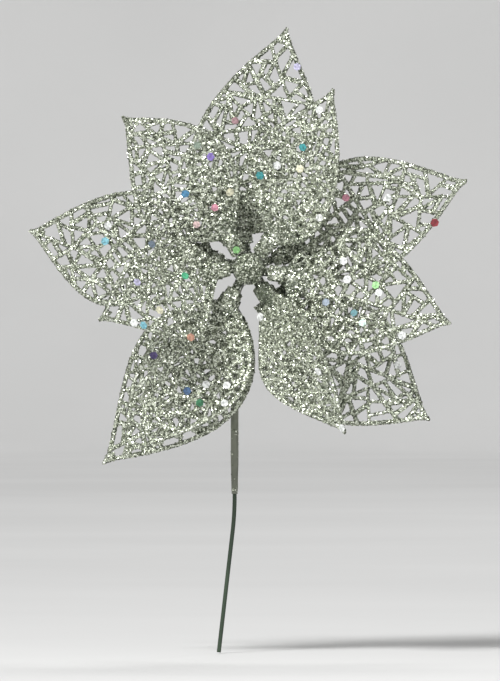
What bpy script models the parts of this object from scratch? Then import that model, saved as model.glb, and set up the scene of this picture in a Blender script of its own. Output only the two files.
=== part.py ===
"""A glittered lattice poinsettia pick: two tiers of moulded lattice petals plugged on the arms of two
spiders, stacked on a peg behind which a sleeve holds a plastic-coated wire stem.

Metres, +Z up. The flower faces -Y. The origin is the cut lower end of the wire.
"""

import math
import random
from dataclasses import dataclass

import bmesh
import bpy
import numpy as np
from mathutils import Matrix, Vector

MM = 0.001

# Wire stem
WIRE_LEAN = 0.1146
LEAN_TOP = 42 * MM
BEND_TOP = 54 * MM
CORE_RADIUS = 0.4 * MM
COAT_RADIUS = 0.72 * MM
CORE_GAP = 0.1 * MM
COAT_END_WALL = 1.5 * MM
WIRE_STEP = 5 * MM

# Sleeve
SLEEVE_MOUTH = 55 * MM
SLEEVE_RADIUS = 1.35 * MM
SLEEVE_GAP = 0.2 * MM
WIRE_INSERTION = 24 * MM
BORE_SPARE = 2 * MM
NECK_RISE = 15 * MM
NECK_REACH = 11 * MM
NECK_PULL = 0.62
NECK_STRAIGHT = 4 * MM
BEND_STEPS = 12
ROUND_STEPS = 3
WELD = 0.01 * MM
SHARP_DEG = 35

# Flower head
HEAD_X = 10.3 * MM
HEAD_Z = 133.1 * MM
FIT_GAP = 0.3 * MM
CALYX_REAR_RADIUS = 3.2 * MM
CALYX_FRONT_RADIUS = 5.6 * MM
CALYX_LENGTH = 6 * MM
SOCKET_DEPTH = 4 * MM
PEG_RADIUS = 1.9 * MM
RING_RADIUS = 5.2 * MM
REAR_RING_LENGTH = 4.4 * MM
FRONT_RING_LENGTH = 8.2 * MM
FRONT_ARM_PLANE = 2.4 * MM
BUTTON_RADIUS = 5 * MM
BUTTON_LENGTH = 4.6 * MM
BUTTON_WALL = 1.4 * MM
TURNED_STEPS = 28
DOME_STEPS = 5

# Spider arms and petal feet
ARM_RADIUS = 1.4 * MM
BORE_WALL = 0.6 * MM
FOOT_START = 9 * MM
FOOT_LENGTH = 5 * MM
FOOT_WIDTH = 5.2 * MM
FOOT_THICKNESS = 4.6 * MM
SOCKET_WALL = 1.1 * MM
ARM_SIDES = 12

# Petal blades
NECK_HALF = 2.2 * MM
BLADE_THICKNESS = 1.3 * MM
ROOT_LENGTH = 1.4 * MM
CONTROL_SHARE = 0.45
RIM_WIDTH = 0.8 * MM
STRUT_WIDTH = 1.3 * MM
CELL_AREA = 52 * MM * MM
CELL_SPREAD = (0.6, 1.3)
STRUT_TURN_DEG = 38
STRUT_SHIFT = 0.12
SMALLEST_HOLE = 5 * MM * MM
CLOSEST_POINTS = 0.25 * MM
LATTICE_START = 0.07
LATTICE_END = 0.93
EDGE_POINTS = 16
REAR_CUP = 1.6 * MM
FRONT_CUP = 2.6 * MM

# Depths along the flower's axis, counted forward from the sleeve
CALYX_REAR = NECK_REACH + NECK_STRAIGHT - SOCKET_DEPTH + FIT_GAP
CALYX_FRONT = CALYX_REAR + CALYX_LENGTH
REAR_RING_START = CALYX_FRONT + FIT_GAP
REAR_RING_END = REAR_RING_START + REAR_RING_LENGTH
FRONT_RING_START = REAR_RING_END + FIT_GAP
FRONT_RING_END = FRONT_RING_START + FRONT_RING_LENGTH
BUTTON_START = FRONT_RING_END + FIT_GAP
BUTTON_END = BUTTON_START + BUTTON_LENGTH
PEG_END = BUTTON_END - BUTTON_WALL - FIT_GAP
REAR_TIER = (REAR_RING_START + REAR_RING_END) / 2
FRONT_TIER = FRONT_RING_START + FRONT_ARM_PLANE

SLEEVE_X = WIRE_LEAN * (LEAN_TOP + BEND_TOP) / 2
WIRE_TOP = SLEEVE_MOUTH + WIRE_INSERTION


@dataclass(frozen=True)
class Petal:
    """One petal as it stands: its arm, its tip seen from the front, and its blade."""

    name: str
    depth: float
    cup: float
    arm_deg: float
    lift_deg: float
    tip_deg: float
    reach: float
    tip_rise: float
    left_half: float
    left_peak: float
    right_half: float
    right_peak: float
    twist_deg: float


def rear(name, arm, lift, tip, reach, rise, left, left_peak, right, right_peak, twist):
    """A rear petal from sizes in degrees and millimetres."""
    return Petal(name, REAR_TIER, REAR_CUP, arm, lift, tip, reach * MM, rise * MM,
                 left * MM, left_peak, right * MM, right_peak, twist)


def front(name, arm, lift, tip, reach, rise, left, left_peak, right, right_peak, twist):
    """A front petal from sizes in degrees and millimetres."""
    return Petal(name, FRONT_TIER, FRONT_CUP, arm, lift, tip, reach * MM, rise * MM,
                 left * MM, left_peak, right * MM, right_peak, twist)


# Order: arm angle, arm lift, tip angle, reach, tip rise, left half and peak, right half and peak, twist
PETALS = [
    rear("rear_petal_top", 97, 5, 80.7, 83.9, 3, 16.4, 0.76, 22, 1.3, 0),
    rear("rear_petal_right", 20, 6, 21.9, 81.2, 5, 22.7, 0.95, 16.7, 0.85, 4),
    rear("rear_petal_lower_right", -50, 3, -39.9, 81.6, 2, 20.5, 1.06, 21, 0.9, -4),
    rear("rear_petal_lower_left", -118, 0, -126.7, 84.3, -4, 21.5, 0.8, 19, 0.8, 3),
    rear("rear_petal_left", 166, 6, 170.5, 76.6, 5, 22.4, 1.24, 17.7, 0.86, -5),
    front("front_petal_top", 52, 22, 64.7, 67.7, 22, 20.5, 1.0, 11.5, 0.7, -9),
    front("front_petal_right", -12, 17, -15.5, 72.1, 18, 21, 0.75, 21.5, 0.9, -5),
    front("front_petal_lower_right", -57, 24, -59.7, 65.8, 24, 10.5, 0.8, 18, 0.9, 38),
    front("front_petal_lower_left", -122, 12, -123.7, 77.3, 13, 20.5, 0.8, 13.5, 1.1, 0),
    front("front_petal_left", 184, 36, 199.7, 54.1, 36, 21.5, 0.9, 13, 0.85, 6),
    front("front_petal_upper_left", 122, 22, 129.9, 67.2, 24, 20, 0.85, 17.4, 1.08, -5),
]


def collection(name):
    """A new collection of that name in the scene."""
    made = bpy.data.collections.new(name)
    bpy.context.scene.collection.children.link(made)
    return made


def material(name, colour, roughness, metallic):
    """A Principled material."""
    made = bpy.data.materials.new(name)
    made.use_nodes = True
    shader = made.node_tree.nodes["Principled BSDF"]
    shader.inputs["Base Color"].default_value = (*colour, 1)
    shader.inputs["Roughness"].default_value = roughness
    shader.inputs["Metallic"].default_value = metallic
    return made


def add_object(name, mesh, holder, finish=None, origin=None):
    """Puts a mesh of world places into a collection, with the object's origin at a given point."""
    made = bpy.data.objects.new(name, mesh)
    if origin is not None:
        mesh.transform(Matrix.Translation(-Vector(origin)))
        made.location = origin
    if finish is not None:
        mesh.materials.append(finish)
    holder.objects.link(made)
    return made


def add_cutter(name, mesh, holder):
    """A helper solid for a Boolean, left out of the finished object."""
    made = add_object(name, mesh, holder)
    made.hide_render = True
    made.display_type = "WIRE"
    return made


def boolean(target, tool, operation):
    """A live Boolean modifier on the target."""
    modifier = target.modifiers.new(operation.title() + "_" + tool.name, "BOOLEAN")
    modifier.operation = operation
    modifier.object = tool


def smooth(mesh):
    """Shades a round piece smooth, with its corners kept sharp."""
    mesh.shade_smooth()
    mesh.set_sharp_from_angle(angle=math.radians(SHARP_DEG))


def mesh_of(source):
    """The evaluated mesh of a scratch object with its caps welded; the object is removed."""
    graph = bpy.context.evaluated_depsgraph_get()
    mesh = bpy.data.meshes.new_from_object(source.evaluated_get(graph))
    mesh.transform(source.matrix_world)
    bpy.data.objects.remove(source)
    shape = bmesh.new()
    shape.from_mesh(mesh)
    bmesh.ops.remove_doubles(shape, verts=shape.verts, dist=WELD)
    bmesh.ops.recalc_face_normals(shape, faces=shape.faces)
    shape.to_mesh(mesh)
    shape.free()
    return mesh


def tube_mesh(name, points, radius):
    """A round bar along points, with filled caps."""
    curve = bpy.data.curves.new(name, "CURVE")
    curve.dimensions = "3D"
    curve.bevel_depth = radius
    curve.bevel_resolution = ROUND_STEPS
    curve.use_fill_caps = True
    spline = curve.splines.new("POLY")
    spline.points.add(len(points) - 1)
    for target, point in zip(spline.points, points):
        target.co = (*point, 1)
    scratch = bpy.data.objects.new(name, curve)
    bpy.context.scene.collection.objects.link(scratch)
    bpy.context.view_layer.update()
    return mesh_of(scratch)


def turned_mesh(name, profile):
    """A profile of (radius, forward depth) points turned about the flower's axis."""
    outline = bpy.data.meshes.new(name)
    closed = profile[0] == profile[-1]
    points = profile[:-1] if closed else profile
    edges = [(i, i + 1) for i in range(len(points) - 1)]
    if closed:
        edges.append((len(points) - 1, 0))
    outline.from_pydata([(radius, 0, depth) for radius, depth in points], edges, [])
    scratch = bpy.data.objects.new(name, outline)
    bpy.context.scene.collection.objects.link(scratch)
    screw = scratch.modifiers.new("Screw", "SCREW")
    screw.steps = TURNED_STEPS
    screw.render_steps = TURNED_STEPS
    screw.use_merge_vertices = True
    screw.merge_threshold = WELD
    scratch.matrix_world = head_matrix()
    bpy.context.view_layer.update()
    return mesh_of(scratch)


def head_matrix():
    """Takes (x, 0, depth) about the Z axis to the flower's axis, which points forward along -Y."""
    return Matrix.Translation((HEAD_X, 0, HEAD_Z)) @ Matrix.Rotation(math.pi / 2, 4, "X")


def bar_mesh(name, start, end, radius):
    """A straight round bar between two points."""
    start, end = Vector(start), Vector(end)
    shape = bmesh.new()
    turn = (end - start).to_track_quat("Z", "Y").to_matrix().to_4x4()
    bmesh.ops.create_cone(
        shape, cap_ends=True, segments=ARM_SIDES, radius1=radius, radius2=radius,
        depth=(end - start).length, matrix=Matrix.Translation((start + end) / 2) @ turn)
    mesh = bpy.data.meshes.new(name)
    shape.to_mesh(mesh)
    shape.free()
    return mesh


def direction(angle_deg, lift_deg):
    """A unit arrow seen at that angle from the front and lifted forward from the flower's plane."""
    angle, lift = math.radians(angle_deg), math.radians(lift_deg)
    flat = math.cos(lift)
    return np.array([flat * math.cos(angle), -math.sin(lift), flat * math.sin(angle)])


def tier_centre(depth):
    """The point of the flower's axis at that depth."""
    return np.array([HEAD_X, -depth, HEAD_Z])


def wire_x(height):
    """The wire leans from its end, then eases upright below the sleeve's mouth."""
    eased = min(max(height - LEAN_TOP, 0), BEND_TOP - LEAN_TOP)
    return WIRE_LEAN * (min(height, LEAN_TOP) + eased - eased**2 / (2 * (BEND_TOP - LEAN_TOP)))


def wire_points(top, first=0.0):
    """Points up the wire from a height to its top."""
    count = round((top - first) / WIRE_STEP)
    heights = [first + (top - first) * i / count for i in range(count + 1)]
    return [(wire_x(height), 0, height) for height in heights]


def sleeve_points():
    """Straight up round the wire, then on one bend over to the flower's axis and forward into the calyx."""
    low, high = np.array([SLEEVE_X, 0, HEAD_Z - NECK_RISE]), np.array([HEAD_X, -NECK_REACH, HEAD_Z])
    rising = low + np.array([0, 0, NECK_PULL * NECK_RISE])
    leaving = high + np.array([0, NECK_PULL * NECK_REACH, 0])
    points = [(SLEEVE_X, 0, SLEEVE_MOUTH)]
    for share in np.linspace(0, 1, BEND_STEPS + 1):
        back = 1 - share
        points.append(tuple(
            back**3 * low + 3 * back**2 * share * rising + 3 * back * share**2 * leaving + share**3 * high))
    points.append((HEAD_X, -(CALYX_REAR + SOCKET_DEPTH - FIT_GAP), HEAD_Z))
    return points


def build_stem(parts, cutters):
    """The steel core, its green coat and the sleeve that they push into."""
    steel = material("steel_core", (0.55, 0.55, 0.54), 0.35, 1)
    green = material("green_coat", (0.045, 0.075, 0.045), 0.5, 0)
    silver = material("silver_sleeve", (0.36, 0.37, 0.34), 0.45, 0.4)
    core_top = WIRE_TOP - COAT_END_WALL - CORE_GAP
    core = add_object("wire_core", tube_mesh("core", wire_points(core_top), CORE_RADIUS), parts, steel)
    coat = add_object("wire_coat", tube_mesh("coat", wire_points(WIRE_TOP), COAT_RADIUS), parts, green)
    bore_points = wire_points(core_top + CORE_GAP, -WIRE_STEP)
    core_bore = tube_mesh("coat_bore", bore_points, CORE_RADIUS + CORE_GAP)
    boolean(coat, add_cutter("coat_bore", core_bore, cutters), "DIFFERENCE")
    mouth = (SLEEVE_X, 0, SLEEVE_MOUTH)
    outer = tube_mesh("sleeve", sleeve_points(), SLEEVE_RADIUS)
    sleeve = add_object("stem_sleeve", outer, parts, silver, mouth)
    bore_end = (SLEEVE_X, 0, WIRE_TOP + BORE_SPARE)
    bore_start = (SLEEVE_X, 0, SLEEVE_MOUTH - BORE_SPARE)
    wire_bore = bar_mesh("sleeve_bore", bore_start, bore_end, COAT_RADIUS + SLEEVE_GAP)
    boolean(sleeve, add_cutter("sleeve_bore", wire_bore, cutters), "DIFFERENCE")
    for piece in (core, coat, sleeve):
        smooth(piece.data)


def build_head(parts):
    """The calyx with its peg, and the button that closes the stack."""
    grey = material("grey_moulding", (0.2, 0.22, 0.17), 0.5, 0.1)
    silver = material("silver_button", (0.5, 0.5, 0.46), 0.4, 0.6)
    socket = SLEEVE_RADIUS + FIT_GAP
    calyx = [
        (0, PEG_END), (PEG_RADIUS, PEG_END), (PEG_RADIUS, CALYX_FRONT), (CALYX_FRONT_RADIUS, CALYX_FRONT),
        (CALYX_REAR_RADIUS, CALYX_REAR), (socket, CALYX_REAR), (socket, CALYX_REAR + SOCKET_DEPTH),
        (0, CALYX_REAR + SOCKET_DEPTH),
    ]
    add_object("calyx_peg", turned_mesh("calyx_peg", calyx), parts, grey, tier_centre(CALYX_REAR))
    bore = PEG_RADIUS + FIT_GAP
    dome = [
        (BUTTON_RADIUS * math.sin(turn), BUTTON_START + BUTTON_LENGTH * math.cos(turn))
        for turn in np.linspace(0, math.pi / 2, DOME_STEPS + 1).tolist()
    ]
    roof = BUTTON_END - BUTTON_WALL
    button = turned_mesh("centre_button", dome + [(bore, BUTTON_START), (bore, roof), (0, roof)])
    add_object("centre_button", button, parts, silver, tier_centre(BUTTON_START))
    for name in ("calyx_peg", "centre_button"):
        smooth(parts.objects[name].data)


def build_spider(name, start, end, depth, petals, parts, cutters):
    """A ring that turns on the peg, with one round arm for each petal of its tier."""
    finish = material(name + "_silver", (0.42, 0.43, 0.38), 0.45, 0.5)
    bore = PEG_RADIUS + FIT_GAP
    ring = [(RING_RADIUS, end), (RING_RADIUS, start), (bore, start), (bore, end), (RING_RADIUS, end)]
    centre = tier_centre(depth)
    spider = add_object(name, turned_mesh(name, ring), parts, finish, centre)
    for petal in petals:
        along = direction(petal.arm_deg, petal.lift_deg)
        lift = math.radians(petal.lift_deg)
        root = (bore + BORE_WALL + ARM_RADIUS * math.sin(lift)) / math.cos(lift)
        tip = FOOT_START + FOOT_LENGTH - SOCKET_WALL - FIT_GAP
        arm = bar_mesh("arm", centre + along * root, centre + along * tip, ARM_RADIUS)
        boolean(spider, add_cutter(petal.name + "_arm", arm, cutters), "UNION")
    smooth(spider.data)


def half_width(petal, share, left):
    """Half the blade's width at a share of its length: a neck that fades into a pointed sine bulge."""
    half, peak = (petal.left_half, petal.left_peak) if left else (petal.right_half, petal.right_peak)
    return NECK_HALF * (1 - share) ** 2 + half * np.sin(np.pi * share**peak)


def blade_line(petal):
    """The blade's centre line as the three points of a quadratic curve, from its foot to its tip."""
    along = direction(petal.arm_deg, petal.lift_deg)
    centre = tier_centre(petal.depth)
    start = centre + along * (FOOT_START + FOOT_LENGTH)
    angle = math.radians(petal.tip_deg)
    tip = centre + np.array([petal.reach * math.cos(angle), -petal.tip_rise, petal.reach * math.sin(angle)])
    control = start + along * CONTROL_SHARE * np.linalg.norm(tip - start)
    return start, control, tip


def blade_frames(petal, share):
    """Points of the centre line with their along, left and front arrows, the last two turned by the twist."""
    start, control, tip = blade_line(petal)
    inside = np.clip(share, 0, 1)[:, None]
    point = (1 - inside) ** 2 * start + 2 * inside * (1 - inside) * control + inside**2 * tip
    along = 2 * (1 - inside) * (control - start) + 2 * inside * (tip - control)
    along /= np.linalg.norm(along, axis=1)[:, None]
    viewer = np.array([0.0, -1.0, 0.0])
    face = viewer - (along @ viewer)[:, None] * along
    face /= np.linalg.norm(face, axis=1)[:, None]
    left = np.cross(face, along)
    twist = math.radians(petal.twist_deg)
    turned_left = math.cos(twist) * left + math.sin(twist) * face
    turned_face = math.cos(twist) * face - math.sin(twist) * left
    return point, along, turned_left, turned_face


def blade_length(petal):
    """The distance from the foot to the tip."""
    start, _, tip = blade_line(petal)
    return float(np.linalg.norm(tip - start))


def on_blade(petal, flat):
    """Takes flat places (along, left, height) to the cupped blade, whose edges bend forward."""
    length = blade_length(petal)
    share = flat[:, 0] / length
    point, along, left, face = blade_frames(petal, share)
    point = point + along * np.minimum(flat[:, 0], 0)[:, None]
    inside = np.clip(share, 0, 1)
    widest = np.where(flat[:, 1] > 0, petal.left_half, petal.right_half)
    cup = petal.cup * (flat[:, 1] / widest) ** 2 * np.sin(np.pi * inside)
    return point + left * flat[:, 1:2] + face * (cup + flat[:, 2])[:, None]


def blade_outline(petal):
    """The flat outline, from the root along the right edge to the tip and back along the left edge."""
    length = blade_length(petal)
    share = np.linspace(0, 1, EDGE_POINTS)
    right = np.stack([share * length, -half_width(petal, share, False)], 1)
    left = np.stack([share * length, half_width(petal, share, True)], 1)[:-1][::-1]
    root = np.array([[-ROOT_LENGTH, NECK_HALF], [-ROOT_LENGTH, -NECK_HALF]])
    return np.concatenate([root, right, left])


def lattice_field(petal):
    """The part of the blade inside its rim, which the struts divide."""
    length = blade_length(petal)
    share = np.linspace(LATTICE_START, LATTICE_END, EDGE_POINTS)
    right = np.stack([share * length, RIM_WIDTH - half_width(petal, share, False)], 1)
    left = np.stack([share * length, half_width(petal, share, True) - RIM_WIDTH], 1)[::-1]
    return np.concatenate([right, left])


def polygon_area(points):
    """The area inside a loop of points, positive when it runs to the left."""
    x, y = points[:, 0], points[:, 1]
    return float(np.sum(x * np.roll(y, -1) - y * np.roll(x, -1)) / 2)


def keep_side(points, place, normal):
    """The part of a polygon on the normal's side of a line."""
    if len(points) < 3:
        return points
    away = (points - place) @ normal
    kept = []
    for i in range(len(points)):
        j = (i + 1) % len(points)
        if away[i] >= 0:
            kept.append(points[i])
        if (away[i] >= 0) != (away[j] >= 0):
            share = away[i] / (away[i] - away[j])
            kept.append(points[i] + share * (points[j] - points[i]))
    return np.array(kept).reshape(-1, 2)


def split_cells(field, chance):
    """Divides a field by random struts, each across the longer way of its cell, until the cells are small."""
    waiting, cells = [field], []
    while waiting:
        cell = waiting.pop()
        if len(cell) < 3 or polygon_area(cell) < CELL_AREA * chance.uniform(*CELL_SPREAD):
            cells.append(cell)
            continue
        middle = cell.mean(axis=0)
        _, axes = np.linalg.eigh(np.cov((cell - middle).T))
        turn = math.radians(chance.uniform(-STRUT_TURN_DEG, STRUT_TURN_DEG))
        longest = axes[:, 1]
        normal = np.array([
            longest[0] * math.cos(turn) - longest[1] * math.sin(turn),
            longest[0] * math.sin(turn) + longest[1] * math.cos(turn)])
        spread = float(np.ptp((cell - middle) @ normal))
        place = middle + normal * spread * chance.uniform(-STRUT_SHIFT, STRUT_SHIFT)
        waiting += [keep_side(cell, place, normal), keep_side(cell, place, -normal)]
    return cells


def hole_in(cell):
    """The cell drawn in by half a strut on every side."""
    hole = cell
    for i in range(len(cell)):
        edge = cell[(i + 1) % len(cell)] - cell[i]
        length = np.linalg.norm(edge)
        if length > 0:
            normal = np.array([-edge[1], edge[0]]) / length
            hole = keep_side(hole, cell[i] + normal * STRUT_WIDTH / 2, normal)
    return hole


def merge_close(points):
    """The loop without points that nearly repeat the one before."""
    gaps = np.linalg.norm(points - np.roll(points, 1, axis=0), axis=1)
    return points[gaps > CLOSEST_POINTS]


def lattice_mesh(petal, seed):
    """The flat lattice, cut out as one filled outline with its holes and then laid on the blade's surface."""
    chance = random.Random(seed)
    cells = split_cells(lattice_field(petal), chance)
    holes = [merge_close(hole_in(cell)) for cell in cells if len(cell) > 2]
    loops = [blade_outline(petal)]
    loops += [hole for hole in holes if len(hole) > 2 and polygon_area(hole) > SMALLEST_HOLE]
    curve = bpy.data.curves.new(petal.name, "CURVE")
    curve.dimensions = "2D"
    curve.fill_mode = "BOTH"
    curve.extrude = BLADE_THICKNESS / 2 / MM
    for loop in loops:
        spline = curve.splines.new("POLY")
        spline.points.add(len(loop) - 1)
        spline.use_cyclic_u = True
        for target, point in zip(spline.points, loop):
            target.co = (point[0] / MM, point[1] / MM, 0, 1)
    scratch = bpy.data.objects.new(petal.name, curve)
    bpy.context.scene.collection.objects.link(scratch)
    bpy.context.view_layer.update()
    mesh = mesh_of(scratch)
    flat = np.empty(len(mesh.vertices) * 3, np.float32)
    mesh.vertices.foreach_get("co", flat)
    placed = on_blade(petal, flat.reshape(-1, 3).astype(float) * MM)
    mesh.vertices.foreach_set("co", placed.astype(np.float32).ravel())
    mesh.update()
    return mesh


def foot_mesh(petal):
    """The block at the petal's root, whose socket goes on the arm."""
    _, along, left, face = (rows[0] for rows in blade_frames(petal, np.zeros(1)))
    middle = tier_centre(petal.depth) + along * (FOOT_START + FOOT_LENGTH / 2)
    place = Matrix((
        (along[0], left[0], face[0], middle[0]),
        (along[1], left[1], face[1], middle[1]),
        (along[2], left[2], face[2], middle[2]),
        (0, 0, 0, 1)))
    shape = bmesh.new()
    size = Matrix.Diagonal((FOOT_LENGTH, FOOT_WIDTH, FOOT_THICKNESS, 1))
    bmesh.ops.create_cube(shape, size=1, matrix=place @ size)
    mesh = bpy.data.meshes.new(petal.name + "_foot")
    shape.to_mesh(mesh)
    shape.free()
    return mesh


def build_petal(petal, seed, parts, cutters):
    """A lattice blade joined to its foot, with the arm's socket cut into the foot."""
    finish = material(petal.name + "_glitter", (0.55, 0.56, 0.5), 0.35, 0.7)
    centre = tier_centre(petal.depth)
    along = direction(petal.arm_deg, petal.lift_deg)
    blade = add_object(petal.name, lattice_mesh(petal, seed), parts, finish, centre)
    boolean(blade, add_cutter(petal.name + "_foot", foot_mesh(petal), cutters), "UNION")
    socket = bar_mesh("socket", centre + along * (FOOT_START - FIT_GAP),
                      centre + along * (FOOT_START + FOOT_LENGTH - SOCKET_WALL), ARM_RADIUS + FIT_GAP)
    boolean(blade, add_cutter(petal.name + "_socket", socket, cutters), "DIFFERENCE")


def main():
    """Builds the pick."""
    for old in list(bpy.data.objects):
        bpy.data.objects.remove(old)
    parts = collection("poinsettia_pick")
    cutters = collection("cutters")
    cutters.hide_render = True
    build_stem(parts, cutters)
    build_head(parts)
    tiers = (
        ("rear_spider", REAR_RING_START, REAR_RING_END, REAR_TIER),
        ("front_spider", FRONT_RING_START, FRONT_RING_END, FRONT_TIER),
    )
    for name, start, end, depth in tiers:
        petals = [petal for petal in PETALS if petal.depth == depth]
        build_spider(name, start, end, depth, petals, parts, cutters)
    for seed, petal in enumerate(PETALS):
        build_petal(petal, seed, parts, cutters)


if __name__ == "__main__":
    main()
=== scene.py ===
"""Looks of a glittered lattice poinsettia pick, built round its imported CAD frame.

Each petal is a moulded web of struts under silver glitter: a height field over the blade's flat outline,
laid on the blade's bent surface, with loose glitter flakes and hexagonal sequins on it.
Metres, +Z up. The flower faces -Y.
"""

import logging
import math
from collections.abc import Mapping, Sequence
from dataclasses import dataclass, field
from enum import Enum, IntEnum

import bpy
import numpy as np
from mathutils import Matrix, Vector
from numpy.typing import NDArray


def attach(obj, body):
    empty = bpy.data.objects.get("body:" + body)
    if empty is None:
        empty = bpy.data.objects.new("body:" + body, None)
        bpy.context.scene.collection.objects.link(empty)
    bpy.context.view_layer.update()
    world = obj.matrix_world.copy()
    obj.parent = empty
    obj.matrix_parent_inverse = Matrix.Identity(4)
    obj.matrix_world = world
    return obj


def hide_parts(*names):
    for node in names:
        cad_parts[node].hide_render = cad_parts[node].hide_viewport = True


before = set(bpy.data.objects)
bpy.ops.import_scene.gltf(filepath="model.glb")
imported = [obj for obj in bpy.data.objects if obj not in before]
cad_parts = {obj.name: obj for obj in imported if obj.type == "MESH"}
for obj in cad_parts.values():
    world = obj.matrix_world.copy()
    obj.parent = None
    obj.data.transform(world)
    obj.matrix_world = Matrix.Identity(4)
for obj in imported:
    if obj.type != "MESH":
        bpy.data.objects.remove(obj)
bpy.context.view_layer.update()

LOG = logging.getLogger("poinsettia_pick")
MM = 0.001
TINY = 1e-9
MIX_COLOURS, MIX_RESULT = (6, 7), 2
Array = NDArray[np.float64]
Faces = list[NDArray[np.int64]]
Pair = tuple[float, float]
Place = tuple[float, float, float]
Socket = bpy.types.NodeSocket
Inputs = Mapping[str | int, float | Sequence[float] | Socket]


class Tint(Enum):
    """Colours of the sequins, as linear red, green and blue."""

    WHITE = (0.82, 0.84, 0.82)
    CREAM = (0.80, 0.78, 0.58)
    PINK = (0.80, 0.36, 0.46)
    LIGHT_PINK = (0.78, 0.58, 0.56)
    DULL_PINK = (0.42, 0.26, 0.28)
    COPPER = (0.50, 0.27, 0.19)
    DARK_RED = (0.30, 0.05, 0.06)
    VIOLET = (0.30, 0.22, 0.60)
    DARK_VIOLET = (0.13, 0.10, 0.26)
    LAVENDER = (0.56, 0.54, 0.74)
    BLUE = (0.12, 0.34, 0.58)
    DARK_BLUE = (0.06, 0.13, 0.26)
    BLUE_GREY = (0.20, 0.25, 0.31)
    CYAN = (0.26, 0.58, 0.68)
    TEAL = (0.06, 0.33, 0.34)
    DARK_TEAL = (0.02, 0.13, 0.15)
    MINT = (0.62, 0.82, 0.72)
    GREEN = (0.10, 0.48, 0.26)
    BRIGHT_GREEN = (0.32, 0.66, 0.26)
    DARK_GREEN = (0.05, 0.20, 0.10)
    GREY_GREEN = (0.34, 0.42, 0.34)


class Tier(Enum):
    """The two layers of petals, each with its spider's node name."""

    REAR = "rear_spider"
    FRONT = "front_spider"


class Seed(IntEnum):
    """First seeds of the random numbers, and the steps from a petal's seed to its flakes'."""

    STEM = 11
    HEAD = 21
    REAR_SPIDER = 31
    FRONT_SPIDER = 41
    PETALS = 51
    STREWING_STEP = 1000
    FLAKES_STEP = 2000


class Slot(Enum):
    """Names of the pick's material slots."""

    GLITTER = "silver_glitter"
    SLEEVE = "silver_sleeve"
    MOULDING = "grey_moulding"
    COAT = "green_coat"
    STEEL = "steel_core"


@dataclass
class Skin:
    """Points and faces of a closed surface on its way to a mesh."""

    points: Array
    faces: Faces

    def __add__(self, other: "Skin") -> "Skin":
        """Both surfaces in one, with the other's face numbers moved up."""
        moved = [faces + len(self.points) for faces in other.faces]
        return Skin(np.concatenate([self.points, other.points]), self.faces + moved)

    def spread(self, count: int, chance: np.random.Generator) -> tuple[Array, Array]:
        """Random points on the four-sided faces, chosen by area, each a random mix of two opposite edges.

        Args:
            count: the number of points.
            chance: the source of random numbers.

        Returns:
            The points, and the outward arrows there.
        """
        corners = self.points[self.faces[0]]
        normals = np.cross(corners[:, 2] - corners[:, 0], corners[:, 3] - corners[:, 1])
        areas = np.linalg.norm(normals, axis=1)
        chosen = chance.choice(len(areas), count, p=areas / areas.sum())
        mix = chance.random((count, 2, 1))
        low = corners[chosen, 0] + mix[:, 0] * (corners[chosen, 1] - corners[chosen, 0])
        high = corners[chosen, 3] + mix[:, 0] * (corners[chosen, 2] - corners[chosen, 3])
        return low + mix[:, 1] * (high - low), normals[chosen]


def unit(arrows: Array) -> Array:
    """The arrows at length 1."""
    return arrows / np.linalg.norm(arrows, axis=-1, keepdims=True)


def turns(sides: int) -> Array:
    """Angles evenly spread over a full turn."""
    return np.arange(sides) * 2 * math.pi / sides


def ring_faces(count: int, sides: int) -> tuple[NDArray[np.int64], NDArray[np.int64]]:
    """Numbers of the points of rings, and of the points beside them."""
    here = np.arange(count * sides).reshape(count, sides)
    return here, np.roll(here, -1, axis=1)


def tube_skin(rings: Array, start: Array, end: Array) -> Skin:
    """A skin over rings of points, closed by a pole at each end.

    Each ring runs anticlockwise seen against the way that the rings advance, so the faces point outwards.

    Args:
        rings: points in the shape (rings, sides, 3).
        start: the pole before the first ring.
        end: the pole after the last ring.

    Returns:
        The closed skin.
    """
    count, sides, _ = rings.shape
    here, beside = ring_faces(count, sides)
    walls = np.stack([here[:-1], beside[:-1], beside[1:], here[1:]], -1).reshape(-1, 4)
    first = np.full(sides, count * sides)
    floor = np.stack([beside[0], here[0], first], -1)
    roof = np.stack([here[-1], beside[-1], first + 1], -1)
    points = np.concatenate([rings.reshape(-1, 3), start[None], end[None]])
    return Skin(points, [walls, floor, roof])


def wheel_skin(rings: Array) -> Skin:
    """A skin over rings of points whose last ring joins the first, as on a collar.

    Args:
        rings: points in the shape (rings, sides, 3).

    Returns:
        The closed skin.
    """
    here, beside = ring_faces(*rings.shape[:2])
    walls = [here, beside, np.roll(beside, -1, axis=0), np.roll(here, -1, axis=0)]
    return Skin(rings.reshape(-1, 3), [np.stack(walls, -1).reshape(-1, 4)])


def fine_line(corners: Array, step: float, closed: bool = False) -> Array:
    """Points about one step apart along straight runs between corners, corners included.

    Args:
        corners: the corner points.
        step: the longest gap.
        closed: whether the last corner joins the first, which isn't repeated.

    Returns:
        The points in order.
    """
    ends = np.roll(corners, -1, axis=0) if closed else corners[1:]
    starts = corners if closed else corners[:-1]
    runs = []
    for start, end in zip(starts, ends):
        count = max(1, math.ceil(float(np.linalg.norm(end - start)) / step))
        share = np.arange(count)[:, None] / count
        runs.append(start + share * (end - start))
    if not closed:
        runs.append(corners[-1:])
    return np.concatenate(runs)


def around(turn: Array, first: Array, second: Array) -> Array:
    """Arrows cos(turn) first + sin(turn) second, in the shape (arrows, turns, 3)."""
    return np.cos(turn)[None, :, None] * first[:, None] + np.sin(turn)[None, :, None] * second[:, None]


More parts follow.
